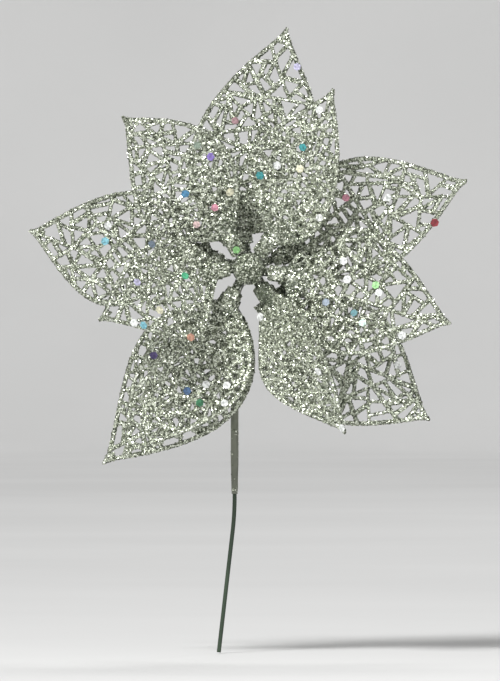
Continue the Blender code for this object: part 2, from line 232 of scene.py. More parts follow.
def round_rings(centres: Array, radii: Array, sides: int) -> Array:
    """Circles of the given radii along a path, each square to it.

    The first arrow of a section is the X axis less its part along the path, and the second is path x first.

    Args:
        centres: path points.
        radii: one radius for each point.
        sides: points in a circle.

    Returns:
        Points in the shape (rings, sides, 3).
    """
    along = unit(np.gradient(centres, axis=0))
    across = np.array([1.0, 0.0, 0.0])
    first = unit(across - (along @ across)[:, None] * along)
    circle = around(turns(sides), first, np.cross(along, first))
    return centres[:, None] + radii[:, None, None] * circle


def make_mesh(name: str, skin: Skin, smooth: bool) -> bpy.types.Mesh:
    """A Blender mesh of a skin.

    Args:
        name: the mesh's name.
        skin: its points and faces.
        smooth: whether faces are shaded smooth.

    Returns:
        The mesh.
    """
    sizes = np.concatenate([np.full(len(faces), faces.shape[1]) for faces in skin.faces])
    corners = np.concatenate([faces.ravel() for faces in skin.faces])
    mesh = bpy.data.meshes.new(name)
    mesh.vertices.add(len(skin.points))
    mesh.vertices.foreach_set("co", skin.points.astype(np.float32).ravel())
    mesh.loops.add(len(corners))
    mesh.loops.foreach_set("vertex_index", corners.astype(np.int32))
    mesh.polygons.add(len(sizes))
    starts = np.concatenate([[0], np.cumsum(sizes)[:-1]])
    mesh.polygons.foreach_set("loop_start", starts.astype(np.int32))
    mesh.polygons.foreach_set("use_smooth", np.full(len(sizes), smooth))
    mesh.update(calc_edges=True)
    mesh.validate()
    return mesh


def add_piece(
    name: str, skin: Skin, finish: bpy.types.Material, body: str,
    smooth: bool = False, stands_for: tuple[str, ...] = (),
) -> bpy.types.Object:
    """Puts a skin into the scene as a piece that rides on a CAD body.

    Args:
        name: the piece's name.
        skin: its surface, in the frame.
        finish: its material.
        body: the CAD body that it rides on.
        smooth: whether faces are shaded smooth.
        stands_for: CAD nodes that it replaces.

    Returns:
        The new object.
    """
    piece = bpy.data.objects.new(name, make_mesh(name, skin, smooth))
    piece.data.materials.append(finish)
    bpy.context.scene.collection.objects.link(piece)
    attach(piece, body)
    if stands_for:
        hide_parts(*stands_for)
    LOG.info("%s on %s: %d points", name, body, len(skin.points))
    return piece


def lay_bare_and_shade(piece: bpy.types.Object, bareness: Array) -> None:
    """Tells a glittered piece's points which share of their grains is left off for the dark moulding colour:
    partly real gaps in the glitter, partly painted shade.
    """
    shares = piece.data.attributes.new(GlitterFinish.bareness, "FLOAT", "POINT")
    shares.data.foreach_set("value", bareness.astype(np.float32))


class NodeSet:
    """The nodes of a material in the making, round its one shader."""

    def __init__(self, name: str) -> None:
        """Starts a material."""
        self.material = bpy.data.materials.new(name)
        self.material.use_nodes = True
        self.tree = self.material.node_tree

    def fill(self, node: bpy.types.Node, inputs: Inputs) -> None:
        """Sets a node's sockets.

        Args:
            node: the node.
            inputs: for each socket a fixed value, or another node's socket to link to it.
        """
        for key, value in inputs.items():
            if isinstance(value, Socket):
                self.tree.links.new(value, node.inputs[key])
            else:
                node.inputs[key].default_value = value

    def add(self, kind: str, inputs: Inputs, **settings: str) -> bpy.types.bpy_prop_collection:
        """Adds a node.

        Args:
            kind: the end of its type's name.
            inputs: what its sockets hold.
            settings: the node's own settings.

        Returns:
            Its outputs.
        """
        node = self.tree.nodes.new("ShaderNode" + kind)
        for name, value in settings.items():
            setattr(node, name, value)
        self.fill(node, inputs)
        return node.outputs

    def place(self) -> Socket:
        """The place on the object."""
        return self.add("TexCoord", {})["Object"]

    def attribute(self, name: str, output: str) -> Socket:
        """An attribute of the mesh."""
        return self.add("Attribute", {}, attribute_name=name)[output]

    def span(self, value: Socket, low: float, high: float, source: Pair = (0.0, 1.0)) -> Socket:
        """Takes a number from its source span to the span from low to high."""
        inputs = {"Value": value, "From Min": source[0], "From Max": source[1], "To Min": low, "To Max": high}
        return self.add("MapRange", inputs)["Result"]

    def bump(self, height: Socket, distance: float) -> Socket:
        """Tilts the surface by a height."""
        return self.add("Bump", {"Height": height, "Distance": distance})["Normal"]

    def ramp(self, value: Socket, stops: Sequence[tuple[float, Sequence[float]]]) -> Socket:
        """Adds a colour ramp.

        Args:
            value: what drives it.
            stops: positions with their colours.

        Returns:
            The colour's socket.
        """
        node = self.tree.nodes.new("ShaderNodeValToRGB")
        marks = node.color_ramp.elements
        while len(marks) < len(stops):
            marks.new(0.5)
        for mark, (position, colour) in zip(marks, stops):
            mark.position = position
            mark.color = (*colour, 1)
        self.fill(node, {"Fac": value})
        return node.outputs["Color"]

    def finish(self, inputs: Inputs) -> bpy.types.Material:
        """Sets the shader's sockets and gives the material."""
        self.fill(self.tree.nodes["Principled BSDF"], inputs)
        return self.material


@dataclass(frozen=True)
class GlitterFinish:
    """Plastic under a coat of silver glitter: grains with their own shade and tilt."""

    name: str
    grain: float = 0.5 * MM
    shades: tuple[Pair, ...] = ((0.0, 0.1), (0.25, 0.3), (0.5, 0.6), (0.75, 0.9), (1.0, 1.0))
    warmth: Place = (0.9, 1.0, 0.7)
    fade: float = 0.65
    # Colour shown where grains are left off: partly real gaps in the glitter, partly painted shade.
    moulding_and_shade: Place = (0.075, 0.09, 0.06)
    tilt: float = 0.55
    roughness: Pair = (0.16, 0.5)
    metallic: float = 0.85
    bareness: str = "bareness"

    def material(self) -> bpy.types.Material:
        """Builds the node material.

        Voronoi cells are the grains. Each takes a random shade and roughness, and a bump that slopes across it
        by the product of the place in the cell and the cell's random arrow. A cell whose random number is below
        the piece's bareness attribute shows the dark moulding colour: partly real gaps in the glitter,
        partly painted shade on the struts' sides and round the hub.

        Returns:
            The material.
        """
        nodes = NodeSet(self.name)
        place = nodes.place()
        grains = nodes.add("TexVoronoi", {"Vector": place, "Scale": 1 / self.grain})
        parts = nodes.add("SeparateColor", {"Color": grains["Color"]})
        # Below this share a grain shows the dark moulding colour: partly real gaps in the glitter, partly
        # painted shade.
        bare_and_shade_share = nodes.attribute(self.bareness, "Fac")
        covered_and_unshaded = nodes.add("Math", {0: parts["Blue"], 1: bare_and_shade_share}, operation="GREATER_THAN")["Value"]
        colours = dict(zip(MIX_COLOURS, ((*self.moulding_and_shade, 1), self.shade(nodes, parts["Red"]))))
        inside = nodes.add("VectorMath", {0: place, 1: grains["Position"]}, operation="SUBTRACT")["Vector"]
        centred = {0: grains["Color"], 1: (0.5, 0.5, 0.5)}
        arrow = nodes.add("VectorMath", centred, operation="SUBTRACT")["Vector"]
        slope = nodes.add("VectorMath", {0: inside, 1: arrow}, operation="DOT_PRODUCT")["Value"]
        return nodes.finish({
            "Base Color": nodes.add("Mix", {"Factor": covered_and_unshaded, **colours}, data_type="RGBA")[MIX_RESULT],
            "Metallic": nodes.add("Math", {0: covered_and_unshaded, 1: self.metallic}, operation="MULTIPLY")["Value"],
            "Roughness": nodes.span(parts["Green"], *self.roughness),
            "Normal": nodes.bump(slope, 2 * self.tilt)})

    def shade(self, nodes: NodeSet, chance: Socket) -> Socket:
        """Takes a random number to a shade of the glitter, whose tint fades as it gets lighter.

        Args:
            nodes: the material's nodes.
            chance: the random number.

        Returns:
            The socket with the shade.
        """
        stops = []
        for position, light in self.shades:
            stops.append((position, [light * (part + (1 - part) * self.fade * light) for part in self.warmth]))
        return nodes.ramp(chance, stops)


@dataclass(frozen=True)
class FlakeFinish(GlitterFinish):
    """Loose metal flakes, each with the shade that its mesh gives it."""

    metallic: float = 1.0
    attribute: str = "flake_chance"

    def material(self) -> bpy.types.Material:
        """Builds the node material, whose shade and roughness come from the flake's own number."""
        nodes = NodeSet(self.name)
        chance = nodes.attribute(self.attribute, "Fac")
        return nodes.finish({
            "Metallic": self.metallic,
            "Base Color": self.shade(nodes, chance),
            "Roughness": nodes.span(chance, self.roughness[1], self.roughness[0])})


@dataclass(frozen=True)
class SequinFinish:
    """Thin coloured film, wrinkled a little and mottled dark and light: partly the film's own glitter, partly
    painted glints.
    """

    name: str
    attribute: str = "sequin_colour"
    glint_mottle: float = 0.8 * MM
    noise: Pair = (0.3, 0.7)
    # Noise scales the colour from darker to lighter than the sequin's own: partly real glitter in the film,
    # partly painted glints.
    depth: Pair = (0.42, 1.12)
    wrinkle: float = 0.05 * MM
    metallic: float = 0.15
    roughness: float = 0.48

    def material(self) -> bpy.types.Material:
        """Builds the node material: noise scales the sequin's colour, partly as the film's glitter and partly
        as painted glints, and tilts the film.
        """
        nodes = NodeSet(self.name)
        colour = nodes.attribute(self.attribute, "Color")
        noise = nodes.add("TexNoise", {"Vector": nodes.place(), "Scale": 1 / self.glint_mottle})["Fac"]
        shade = nodes.span(noise, *self.depth, self.noise)
        return nodes.finish({
            "Metallic": self.metallic,
            "Roughness": self.roughness,
            "Base Color": nodes.add("VectorMath", {0: colour, "Scale": shade}, operation="SCALE")["Vector"],
            "Normal": nodes.bump(noise, self.wrinkle)})


@dataclass(frozen=True)
class PlainFinish:
    """Plastic or metal whose colour and gloss wander with noise, with a fine bump."""

    name: str
    dark: Place
    light: Place
    roughness: Pair
    metallic: float = 0.0
    specular: float = 0.5
    patch: float = 4 * MM
    bump: float = 0.04 * MM
    stretch: Place = (1.0, 1.0, 1.0)
    detail: float = 6.0
    noise: Pair = (0.35, 0.65)

    def material(self) -> bpy.types.Material:
        """Builds the node material: noise on the stretched place drives colour, roughness and bump."""
        nodes = NodeSet(self.name)
        place = nodes.add("Mapping", {"Vector": nodes.place(), "Scale": self.stretch})["Vector"]
        inputs = {"Vector": place, "Scale": 1 / self.patch, "Detail": self.detail}
        noise = nodes.add("TexNoise", inputs)["Fac"]
        return nodes.finish({
            "Metallic": self.metallic,
            "Specular IOR Level": self.specular,
            "Base Color": nodes.ramp(noise, list(zip(self.noise, (self.dark, self.light)))),
            "Roughness": nodes.span(noise, *self.roughness),
            "Normal": nodes.bump(noise, self.bump)})


@dataclass(frozen=True)
class Palette:
    """All finishes of the pick, made once."""

    glitter: bpy.types.Material
    flakes: bpy.types.Material
    sequins: bpy.types.Material
    sleeve: bpy.types.Material
    moulding: bpy.types.Material
    coat: bpy.types.Material
    steel: bpy.types.Material

    @classmethod
    def mixed(cls) -> "Palette":
        """Mixes the finishes."""
        finishes = (
            GlitterFinish("silver_glitter"),
            FlakeFinish("loose_flakes"),
            SequinFinish("sequin_film"),
            PlainFinish("grey_sleeve_plastic", (0.13, 0.14, 0.11), (0.24, 0.25, 0.2), (0.3, 0.46),
                        stretch=(1.0, 1.0, 0.3)),
            PlainFinish("grey_green_moulding", (0.05, 0.075, 0.045), (0.2, 0.22, 0.17), (0.4, 0.65)),
            PlainFinish("green_wire_coat", (0.014, 0.028, 0.015), (0.034, 0.056, 0.032), (0.36, 0.58),
                        stretch=(1.0, 1.0, 0.2)),
            PlainFinish("drawn_steel", (0.36, 0.36, 0.35), (0.62, 0.62, 0.6), (0.25, 0.45), metallic=1.0,
                        patch=0.8 * MM),
        )
        return cls(*(finish.material() for finish in finishes))


@dataclass(frozen=True)
class HeadSizes:
    """Places and sizes of the flower head, as in the CAD part."""

    x: float = 10.3 * MM
    z: float = 133.1 * MM
    fit_gap: float = 0.3 * MM
    sleeve_radius: float = 1.35 * MM
    neck_rise: float = 15 * MM
    neck_reach: float = 11 * MM
    neck_pull: float = 0.62
    neck_straight: float = 4 * MM
    socket_depth: float = 4 * MM
    calyx_rear_radius: float = 3.2 * MM
    calyx_front_radius: float = 5.6 * MM
    calyx_length: float = 6 * MM
    peg_radius: float = 1.9 * MM
    ring_radius: float = 5.2 * MM
    rear_ring_length: float = 4.4 * MM
    front_ring_length: float = 8.2 * MM
    front_arm_plane: float = 2.4 * MM
    button_radius: float = 5 * MM
    button_length: float = 4.6 * MM
    button_wall: float = 1.4 * MM
    arm_radius: float = 1.4 * MM
    bore_wall: float = 0.6 * MM
    foot_start: float = 9 * MM
    foot_length: float = 5 * MM
    foot_width: float = 5.2 * MM
    foot_thickness: float = 4.6 * MM
    socket_wall: float = 1.1 * MM

    @property
    def calyx_rear(self) -> float:
        """Depth of the calyx's rear face, forward of the sleeve."""
        return self.neck_reach + self.neck_straight - self.socket_depth + self.fit_gap

    @property
    def calyx_front(self) -> float:
        """Depth of the calyx's front face."""
        return self.calyx_rear + self.calyx_length

    @property
    def rear_ring(self) -> Pair:
        """Depths of the rear ring's two faces."""
        start = self.calyx_front + self.fit_gap
        return start, start + self.rear_ring_length

    @property
    def front_ring(self) -> Pair:
        """Depths of the front ring's two faces."""
        start = self.rear_ring[1] + self.fit_gap
        return start, start + self.front_ring_length

    @property
    def button_start(self) -> float:
        """Depth of the button's rear face."""
        return self.front_ring[1] + self.fit_gap

    @property
    def bore_radius(self) -> float:
        """Radius of the holes that go over the peg."""
        return self.peg_radius + self.fit_gap

    @property
    def foot_end(self) -> float:
        """How far along its arm a foot ends."""
        return self.foot_start + self.foot_length

    def arm_plane(self, tier: Tier) -> float:
        """Depth at which the tier's arms start."""
        if tier is Tier.REAR:
            return sum(self.rear_ring) / 2
        return self.front_ring[0] + self.front_arm_plane

    def centre(self, tier: Tier) -> Array:
        """The point of the flower's axis from which the tier's arms start."""
        return self.on_axis(self.arm_plane(tier))

    def on_axis(self, depth: float) -> Array:
        """The point of the flower's axis at a depth."""
        return np.array([self.x, -depth, self.z])

    def turned(self, profile: Array, sides: int) -> Array:
        """Rings of a profile turned about the flower's axis.

        A ring point is centre + radius (cos turn, 0, sin turn) at y = -depth.

        Args:
            profile: rows of radius and depth.
            sides: points in a ring.

        Returns:
            Points in the shape (rings, sides, 3).
        """
        turn = turns(sides)
        radius = profile[:, :1]
        depth = np.broadcast_to(-profile[:, 1:], (len(profile), sides))
        return np.stack([self.x + radius * np.cos(turn), depth, self.z + radius * np.sin(turn)], -1)


HEAD = HeadSizes()
FLOWER: Place = (HEAD.x, 0.0, HEAD.z)


@dataclass(frozen=True)
class Lamp:
    """A square soft lamp: its place, what it faces, its side in metres and its power in watts."""

    name: str
    place: Place
    target: Place
    size: float
    power: float

    def build(self) -> None:
        """Puts the lamp into the scene."""
        light = bpy.data.lights.new(self.name, "AREA")
        light.size = self.size
        light.energy = self.power
        holder = bpy.data.objects.new(self.name, light)
        holder.location = self.place
        aim = Vector(self.target) - holder.location
        holder.rotation_euler = aim.to_track_quat("-Z", "Y").to_euler()
        bpy.context.scene.collection.objects.link(holder)


LAMPS = (
    Lamp("key", (-1.2, -2.3, 2.2), FLOWER, 0.8, 150),
    Lamp("fill", (1.9, -2.2, 1.0), FLOWER, 0.8, 14),
    Lamp("rear", (1.4, 2.2, 2.0), FLOWER, 0.8, 24),
    Lamp("backdrop", (0.0, 4.6, 5.0), (0.0, 6.0, 0.2), 2.0, 170),
)


@dataclass(frozen=True)
class Studio:
    """Camera, lamps, floor and world. The camera sees the photograph's frame."""

    frame_width_px: int = 500
    frame_height_px: int = 681
    pixel: float = 0.344 * MM
    stem_x_px: float = 218.5
    stem_z_px: float = 655.0
    distance: float = 3.0
    focus_depth: float = 26 * MM
    sensor: float = 36.0
    clip_end: float = 100.0
    floor_level: float = -0.4 * MM
    floor_sides: int = 96
    sweep_start: float = 5.4
    sweep_radius: float = 1.0
    sweep_steps: int = 25
    world_grey: float = 0.16

    @property
    def eye(self) -> Array:
        """The camera's place, level with the middle of the frame."""
        x = (self.frame_width_px / 2 - self.stem_x_px) * self.pixel
        z = (self.stem_z_px - self.frame_height_px / 2) * self.pixel
        return np.array([x, -self.focus_depth - self.distance, z])

    def to_pixels(self, points: Array) -> Array:
        """Where points show in the frame: their offset from the eye over their distance, in pixels.

        Args:
            points: places in the frame, in metres.

        Returns:
            Rows of x and y in pixels, from the upper left corner.
        """
        away = points - self.eye
        scale = self.distance / self.pixel / away[:, 1]
        x = self.frame_width_px / 2 + away[:, 0] * scale
        y = self.frame_height_px / 2 - away[:, 2] * scale
        return np.stack([x, y], -1)

    def build(self) -> None:
        """Sets up the camera, the lamps, the world and the floor with its sweep."""
        self.add_camera()
        for lamp in LAMPS:
            lamp.build()
        self.add_world()
        self.add_floor()

    def add_camera(self) -> None:
        """A long lens that looks along +Y."""
        lens = bpy.data.cameras.new("camera")
        lens.sensor_width = self.sensor
        lens.lens = self.sensor * self.distance / (self.frame_height_px * self.pixel)
        lens.clip_end = self.clip_end
        camera = bpy.data.objects.new("camera", lens)
        camera.location = self.eye
        camera.rotation_euler = (math.pi / 2, 0, 0)
        bpy.context.scene.collection.objects.link(camera)
        bpy.context.scene.camera = camera

    def add_world(self) -> None:
        """A plain grey world."""
        world = bpy.data.worlds.new("studio")
        world.use_nodes = True
        grey = (self.world_grey, self.world_grey, self.world_grey, 1)
        world.node_tree.nodes["Background"].inputs["Color"].default_value = grey
        bpy.context.scene.world = world

    def add_floor(self) -> None:
        """A round floor that sweeps up all round: a disc and a quarter circle."""
        turn = np.linspace(0, math.pi / 2, self.sweep_steps)
        radius = self.sweep_start + self.sweep_radius * np.sin(turn)
        height = self.sweep_radius * (1 - np.cos(turn)) + self.floor_level
        round_turn = -turns(self.floor_sides)
        x, y = radius[:, None] * np.cos(round_turn), radius[:, None] * np.sin(round_turn)
        rings = np.stack([x, y, np.broadcast_to(height[:, None], x.shape)], -1)
        middle = np.array([0.0, 0.0, self.floor_level])
        bowl = tube_skin(rings, middle, middle)
        open_bowl = Skin(bowl.points[:-1], bowl.faces[:2])
        finish = PlainFinish("pale_floor", (0.6, 0.6, 0.595), (0.63, 0.63, 0.625), (0.7, 0.85), specular=0.0,
                             patch=0.4, bump=0.0)
        floor = bpy.data.objects.new("floor", make_mesh("floor", open_bowl, True))
        floor.data.materials.append(finish.material())
        bpy.context.scene.collection.objects.link(floor)


STUDIO = Studio()


@dataclass(frozen=True)
class FlakeLot:
    """Loose flakes: thin six-sided plates that lie at odd angles on a surface."""

    smallest: float = 0.18 * MM
    largest: float = 0.36 * MM
    thickness: float = 0.06 * MM
    sink: float = 0.03 * MM
    tilt_deg: float = 34.0
    sides: int = 6

    def skin(self, places: Array, normals: Array, chance: np.random.Generator) -> Skin:
        """Plates on a surface.

        A plate's corners are place + radius (cos turn, sin turn) on two arrows square to its tilted normal,
        and half the thickness to either side.

        Args:
            places: one point for each flake.
            normals: the surface's outward arrows there.
            chance: the source of random numbers.

        Returns:
            The closed plates.
        """
        count = len(places)
        tilt = math.tan(math.radians(self.tilt_deg))
        up = unit(unit(normals) + chance.normal(0, tilt / 2, (count, 3)))
        first = unit(np.cross(up, chance.normal(0, 1, (count, 3))))
        radius = chance.uniform(self.smallest, self.largest, count)
        rim = around(turns(self.sides), first, np.cross(up, first))
        middle = places[:, None] + up[:, None] * (self.thickness / 2 - self.sink)
        rim = middle + rim * radius[:, None, None]
        half = up[:, None] * self.thickness / 2
        points = np.concatenate([rim - half, rim + half], 1).reshape(-1, 3)
        return Skin(points, self.faces(count))

    def faces(self, count: int) -> Faces:
        """Faces of plates, each with its lower points and then its upper ones.

        Args:
            count: the number of plates.

        Returns:
            The flat faces, and the four-sided ones of the rims.
        """
        first = np.arange(count)[:, None] * 2 * self.sides
        side = np.arange(self.sides)
        after = (side + 1) % self.sides
        flats = [first + side[::-1], first + self.sides + side]
        walls = np.stack([side, after, after + self.sides, side + self.sides], -1)
        return [np.concatenate(flats), (first[:, :, None] + walls[None]).reshape(-1, 4)]

    def on_faces(self, values: Array) -> NDArray[np.float32]:
        """One value for each plate, spread to its faces in their order."""
        return np.concatenate([values, values, np.repeat(values, self.sides, axis=0)]).astype(np.float32)


GLITTER_LOT = FlakeLot()
SEQUIN_LOT = FlakeLot(1.35 * MM, 1.55 * MM, 0.14 * MM, 0.0, 12.0)


def add_flakes(
    name: str, places: Array, normals: Array, palette: Palette, body: str, seed: int,
) -> None:
    """Puts loose flakes on a body, each with its own random number for its shade.

    Args:
        name: the piece's name.
        places: one point for each flake.
        normals: the surface's outward arrows there.
        palette: the finishes.
        body: the CAD body that they ride on.
        seed: the seed of their random numbers.
    """
    chance = np.random.default_rng(seed)
    piece = add_piece(name, GLITTER_LOT.skin(places, normals, chance), palette.flakes, body)
    shade = piece.data.attributes.new(FlakeFinish.attribute, "FLOAT", "FACE")
    shade.data.foreach_set("value", GLITTER_LOT.on_faces(chance.random(len(places))))


@dataclass(frozen=True)
class Sequin:
    """One sequin: the pixel at which the photograph shows it, and its colour."""

    x_px: float
    y_px: float
    tint: Tint


SEQUINS = (
    Sequin(210, 156, Tint.VIOLET),
    Sequin(185, 193, Tint.BLUE),
    Sequin(230, 191, Tint.CREAM),
    Sequin(214, 207, Tint.PINK),
    Sequin(197, 224, Tint.LIGHT_PINK),
    Sequin(261, 175, Tint.TEAL),
    Sequin(278, 165, Tint.WHITE),
    Sequin(301, 168, Tint.CREAM),
    Sequin(305, 147, Tint.TEAL),
    Sequin(295, 67, Tint.LAVENDER),
    Sequin(235, 121, Tint.DULL_PINK),
    Sequin(322, 107, Tint.WHITE),
    Sequin(197, 146, Tint.GREY_GREEN),
    Sequin(103, 240, Tint.CYAN),
    Sequin(108, 226, Tint.WHITE),
    Sequin(184, 276, Tint.GREEN),
    Sequin(135, 283, Tint.LAVENDER),
    Sequin(158, 313, Tint.CREAM),
    Sequin(143, 325, Tint.CYAN),
    Sequin(133, 324, Tint.WHITE),
    Sequin(189, 338, Tint.COPPER),
    Sequin(153, 356, Tint.DARK_VIOLET),
    Sequin(200, 403, Tint.DARK_GREEN),
    Sequin(188, 392, Tint.DARK_BLUE),
    Sequin(224, 404, Tint.WHITE),
    Sequin(205, 383, Tint.WHITE),
    Sequin(227, 385, Tint.WHITE),
    Sequin(261, 317, Tint.WHITE),
    Sequin(320, 371, Tint.WHITE),
    Sequin(347, 279, Tint.WHITE),
    Sequin(320, 217, Tint.WHITE),
    Sequin(382, 294, Tint.WHITE),
    Sequin(403, 337, Tint.WHITE),
    Sequin(399, 365, Tint.WHITE),
    Sequin(346, 427, Tint.WHITE),
    Sequin(387, 196, Tint.WHITE),
    Sequin(343, 262, Tint.WHITE),
    Sequin(352, 314, Tint.DARK_TEAL),
    Sequin(366, 322, Tint.MINT),
    Sequin(376, 285, Tint.BRIGHT_GREEN),
    Sequin(346, 198, Tint.PINK),
    Sequin(437, 224, Tint.DARK_RED),
    Sequin(324, 302, Tint.BLUE_GREY),
    Sequin(150, 245, Tint.BLUE_GREY),
)


@dataclass(frozen=True)
class FootShape:
    """Small sizes of a petal's foot, in millimetres, and the powers of its sections."""

    edge: float = 0.7
    edge_run: float = 0.5
    block_end: float = -0.6
    shoulder: Place = (0.1, 0.4, 0.5)
    neck: Place = (0.8, 2.2, 1.3)
    tail: Place = (4.4, 1.7, 0.6)
    tail_point: float = 0.2
    step: float = 0.35
    rough: float = 0.03
    slack: float = 0.01
    round_power: float = 2.0
    edge_power: float = 3.0
    block_power: float = 5.0
    shoulder_power: float = 4.0
    neck_power: float = 2.4

    def sections(self, stretch: float) -> Array:
        """Rows of run, half width, half thickness and power along the foot.

        They go from the socket's bottom out to its mouth and then forward over the outside.

        Args:
            stretch: how much longer than the CAD's the foot is.

        Returns:
            The rows, one step apart.
        """
        length = HEAD.foot_length / MM + stretch
        wide, thick = HEAD.foot_width / MM / 2, HEAD.foot_thickness / MM / 2
        bore = (HEAD.arm_radius + HEAD.fit_gap) / MM
        run, narrower, thinner = self.shoulder
        corners = np.array([
            [-HEAD.socket_wall / MM, bore, bore, self.round_power],
            [-length, bore, bore, self.round_power],
            [-length, wide - self.edge, thick - self.edge, self.edge_power],
            [-length + self.edge_run, wide, thick, self.block_power],
            [self.block_end, wide, thick, self.block_power],
            [run, wide - narrower, thick - thinner, self.shoulder_power],
            [*self.neck, self.neck_power],
            [*self.tail, self.round_power]])
        return fine_line(corners, self.step)


FOOT = FootShape()
CUPS = {Tier.REAR: 1.6, Tier.FRONT: 2.6}


@dataclass
class LatticePetal:
    """One petal: a lattice blade with a rim, a neck and a socketed foot, under glitter and sequins.

    Lengths are in millimetres and angles in degrees, as in the CAD part's table.
    """

    name: str
    tier: Tier
    arm_deg: float
    lift_deg: float
    tip_deg: float
    reach: float
    tip_rise: float
    left_half: float
    left_peak: float
    right_half: float
    right_peak: float
    twist_deg: float
    neck_half: float = 2.2
    foot_stretch: float = 0.0
    foot_bareness: float = 0.3
    foot_tint: Tint | None = None
    foot_sides: int = 44
    foot_flakes: int = 360
    # The neck and the struts' sides show the dark moulding colour in place of grains: partly real gaps in the
    # glitter, partly painted shade round the hub and on the holes' walls.
    neck_bare_and_shade_run: Pair = (2.0, 15.0)
    neck_bareness: float = 0.62
    edge_bare_and_shade: float = 0.9
    edge_power: float = 3.0
    control_share: float = 0.45
    rim_radius: float = 0.75
    rim_points: int = 26
    rim_end: float = 1.6
    tip_length: float = 4.0
    tip_radius: float = 0.6
    strut_radius: float = 0.66
    strut_spread: Pair = (0.82, 1.3)
    strut_turn_deg: float = 42.0
    strut_shift: float = 0.16
    neck_strut: Pair = (-2.0, 5.0)
    neck_swell: float = 0.5
    swell_fall: float = 1.7
    crown: float = 0.68
    cell_area: float = 40.0
    cell_growth: Pair = (0.55, 0.5)
    cell_spread: Pair = (0.75, 1.1)
    least_split: float = 0.7
    corner_deg: float = 25.0
    grid: float = 0.34
    grid_margins: Place = (2.4, 1.2, 3.0)
    grain: float = 0.11
    fillet: float = 8.0
    faintest: float = 1e-30
    least_slope: float = 0.05
    least_height: float = 0.02
    longest_slide: float = 0.75
    front_flakes: int = 3600
    back_flakes: int = 1400
    sequin_rise: float = 0.32
    sequin_share: float = 0.8
    look_runs: Pair = (0.05, 0.97)
    look_side: float = 0.95
    look_rows: int = 60
    look_columns: int = 41
    look_reach_px: float = 4.0
    sequins: list[Sequin] = field(default_factory=list)

    @property
    def foot_start(self) -> float:
        """How far along its arm the foot begins, in metres."""
        return HEAD.foot_start - self.foot_stretch * MM

    @property
    def along(self) -> Array:
        """The arm's arrow: seen at its angle from the front, lifted forward."""
        angle, lift = math.radians(self.arm_deg), math.radians(self.lift_deg)
        flat = math.cos(lift)
        return np.array([flat * math.cos(angle), -math.sin(lift), flat * math.sin(angle)])

    @property
    def blade_line(self) -> tuple[Array, Array, Array]:
        """The quadratic curve from the foot's end to the tip, in metres: start, control point and tip."""
        centre = HEAD.centre(self.tier)
        start = centre + self.along * HEAD.foot_end
        angle = math.radians(self.tip_deg)
        tip = np.array([self.reach * math.cos(angle), -self.tip_rise, self.reach * math.sin(angle)])
        tip = centre + tip * MM
        control = start + self.along * self.control_share * np.linalg.norm(tip - start)
        return start, control, tip

    @property
    def length(self) -> float:
        """Foot to tip, in millimetres."""
        start, _, tip = self.blade_line
        return float(np.linalg.norm(tip - start)) / MM

    def half_width(self, share: Array, left: bool) -> Array:
        """Half the width at a share of the length: neck (1 - share)^2 + half sin(pi share^peak).

        Args:
            share: shares of the length, 0 at the foot.
            left: whether it is the left half.

        Returns:
            The half widths.
        """
        half, peak = (self.left_half, self.left_peak) if left else (self.right_half, self.right_peak)
        inside = np.clip(share, 0, 1)
        return self.neck_half * (1 - inside) ** 2 + half * np.sin(np.pi * inside**peak)

    def frames(self, share: Array) -> tuple[Array, Array, Array, Array]:
        """The centre line's points with their along, left and front arrows.

        The front arrow is the viewer's arrow less its part along the line, left is front x along, and both turn
        about the line by the twist.

        Args:
            share: shares of the line, 0 at the foot.

        Returns:
            Points, along, left and front arrows.
        """
        start, control, tip = self.blade_line
        inside = np.clip(share, 0, 1)[:, None]
        point = (1 - inside) ** 2 * start + 2 * inside * (1 - inside) * control + inside**2 * tip
        along = unit(2 * (1 - inside) * (control - start) + 2 * inside * (tip - control))
        viewer = np.array([0.0, -1.0, 0.0])
        face = unit(viewer - (along @ viewer)[:, None] * along)
        left = np.cross(face, along)
        twist = math.radians(self.twist_deg)
        turned_left = math.cos(twist) * left + math.sin(twist) * face
        turned_face = math.cos(twist) * face - math.sin(twist) * left
        return point, along, turned_left, turned_face

    def place(self, flat: Array) -> Array:
        """Lays flat millimetres (along, left, height) on the blade's bent and cupped surface.

        The edges bend forward by cup (left / half width)^2 sin(pi share).

        Args:
            flat: rows of along, left and height.

        Returns:
            Places in the frame, in metres.
        """
        share = flat[:, 0] / self.length
        point, along, left, face = self.frames(share)
        point = point + along * np.minimum(flat[:, 0], 0)[:, None] * MM
        widest = np.where(flat[:, 1] > 0, self.left_half, self.right_half)
        cup = CUPS[self.tier] * (flat[:, 1] / widest) ** 2 * np.sin(np.pi * np.clip(share, 0, 1))
        return point + (left * flat[:, 1:2] + face * (cup + flat[:, 2])[:, None]) * MM

    def rim(self) -> Array:
        """The rim's centre line: the outline drawn in by the rim's radius, neck to tip and back."""
        share = np.linspace(0.0, 1.0, self.rim_points)
        run = share * (self.length - self.rim_radius * self.rim_end)
        right = np.stack([run, -np.maximum(self.half_width(share, False) - self.rim_radius, 0)], 1)
        left = np.stack([run, np.maximum(self.half_width(share, True) - self.rim_radius, 0)], 1)
        return np.concatenate([right, left[:-1][::-1]])

    def sharp_corners(self, cell: Array) -> Array:
        """The points of a cell at which its edge turns sharply."""
        before = unit(cell - np.roll(cell, 1, axis=0) + TINY)
        after = np.roll(before, -1, axis=0)
        return cell[np.sum(before * after, axis=1) < math.cos(math.radians(self.corner_deg))]

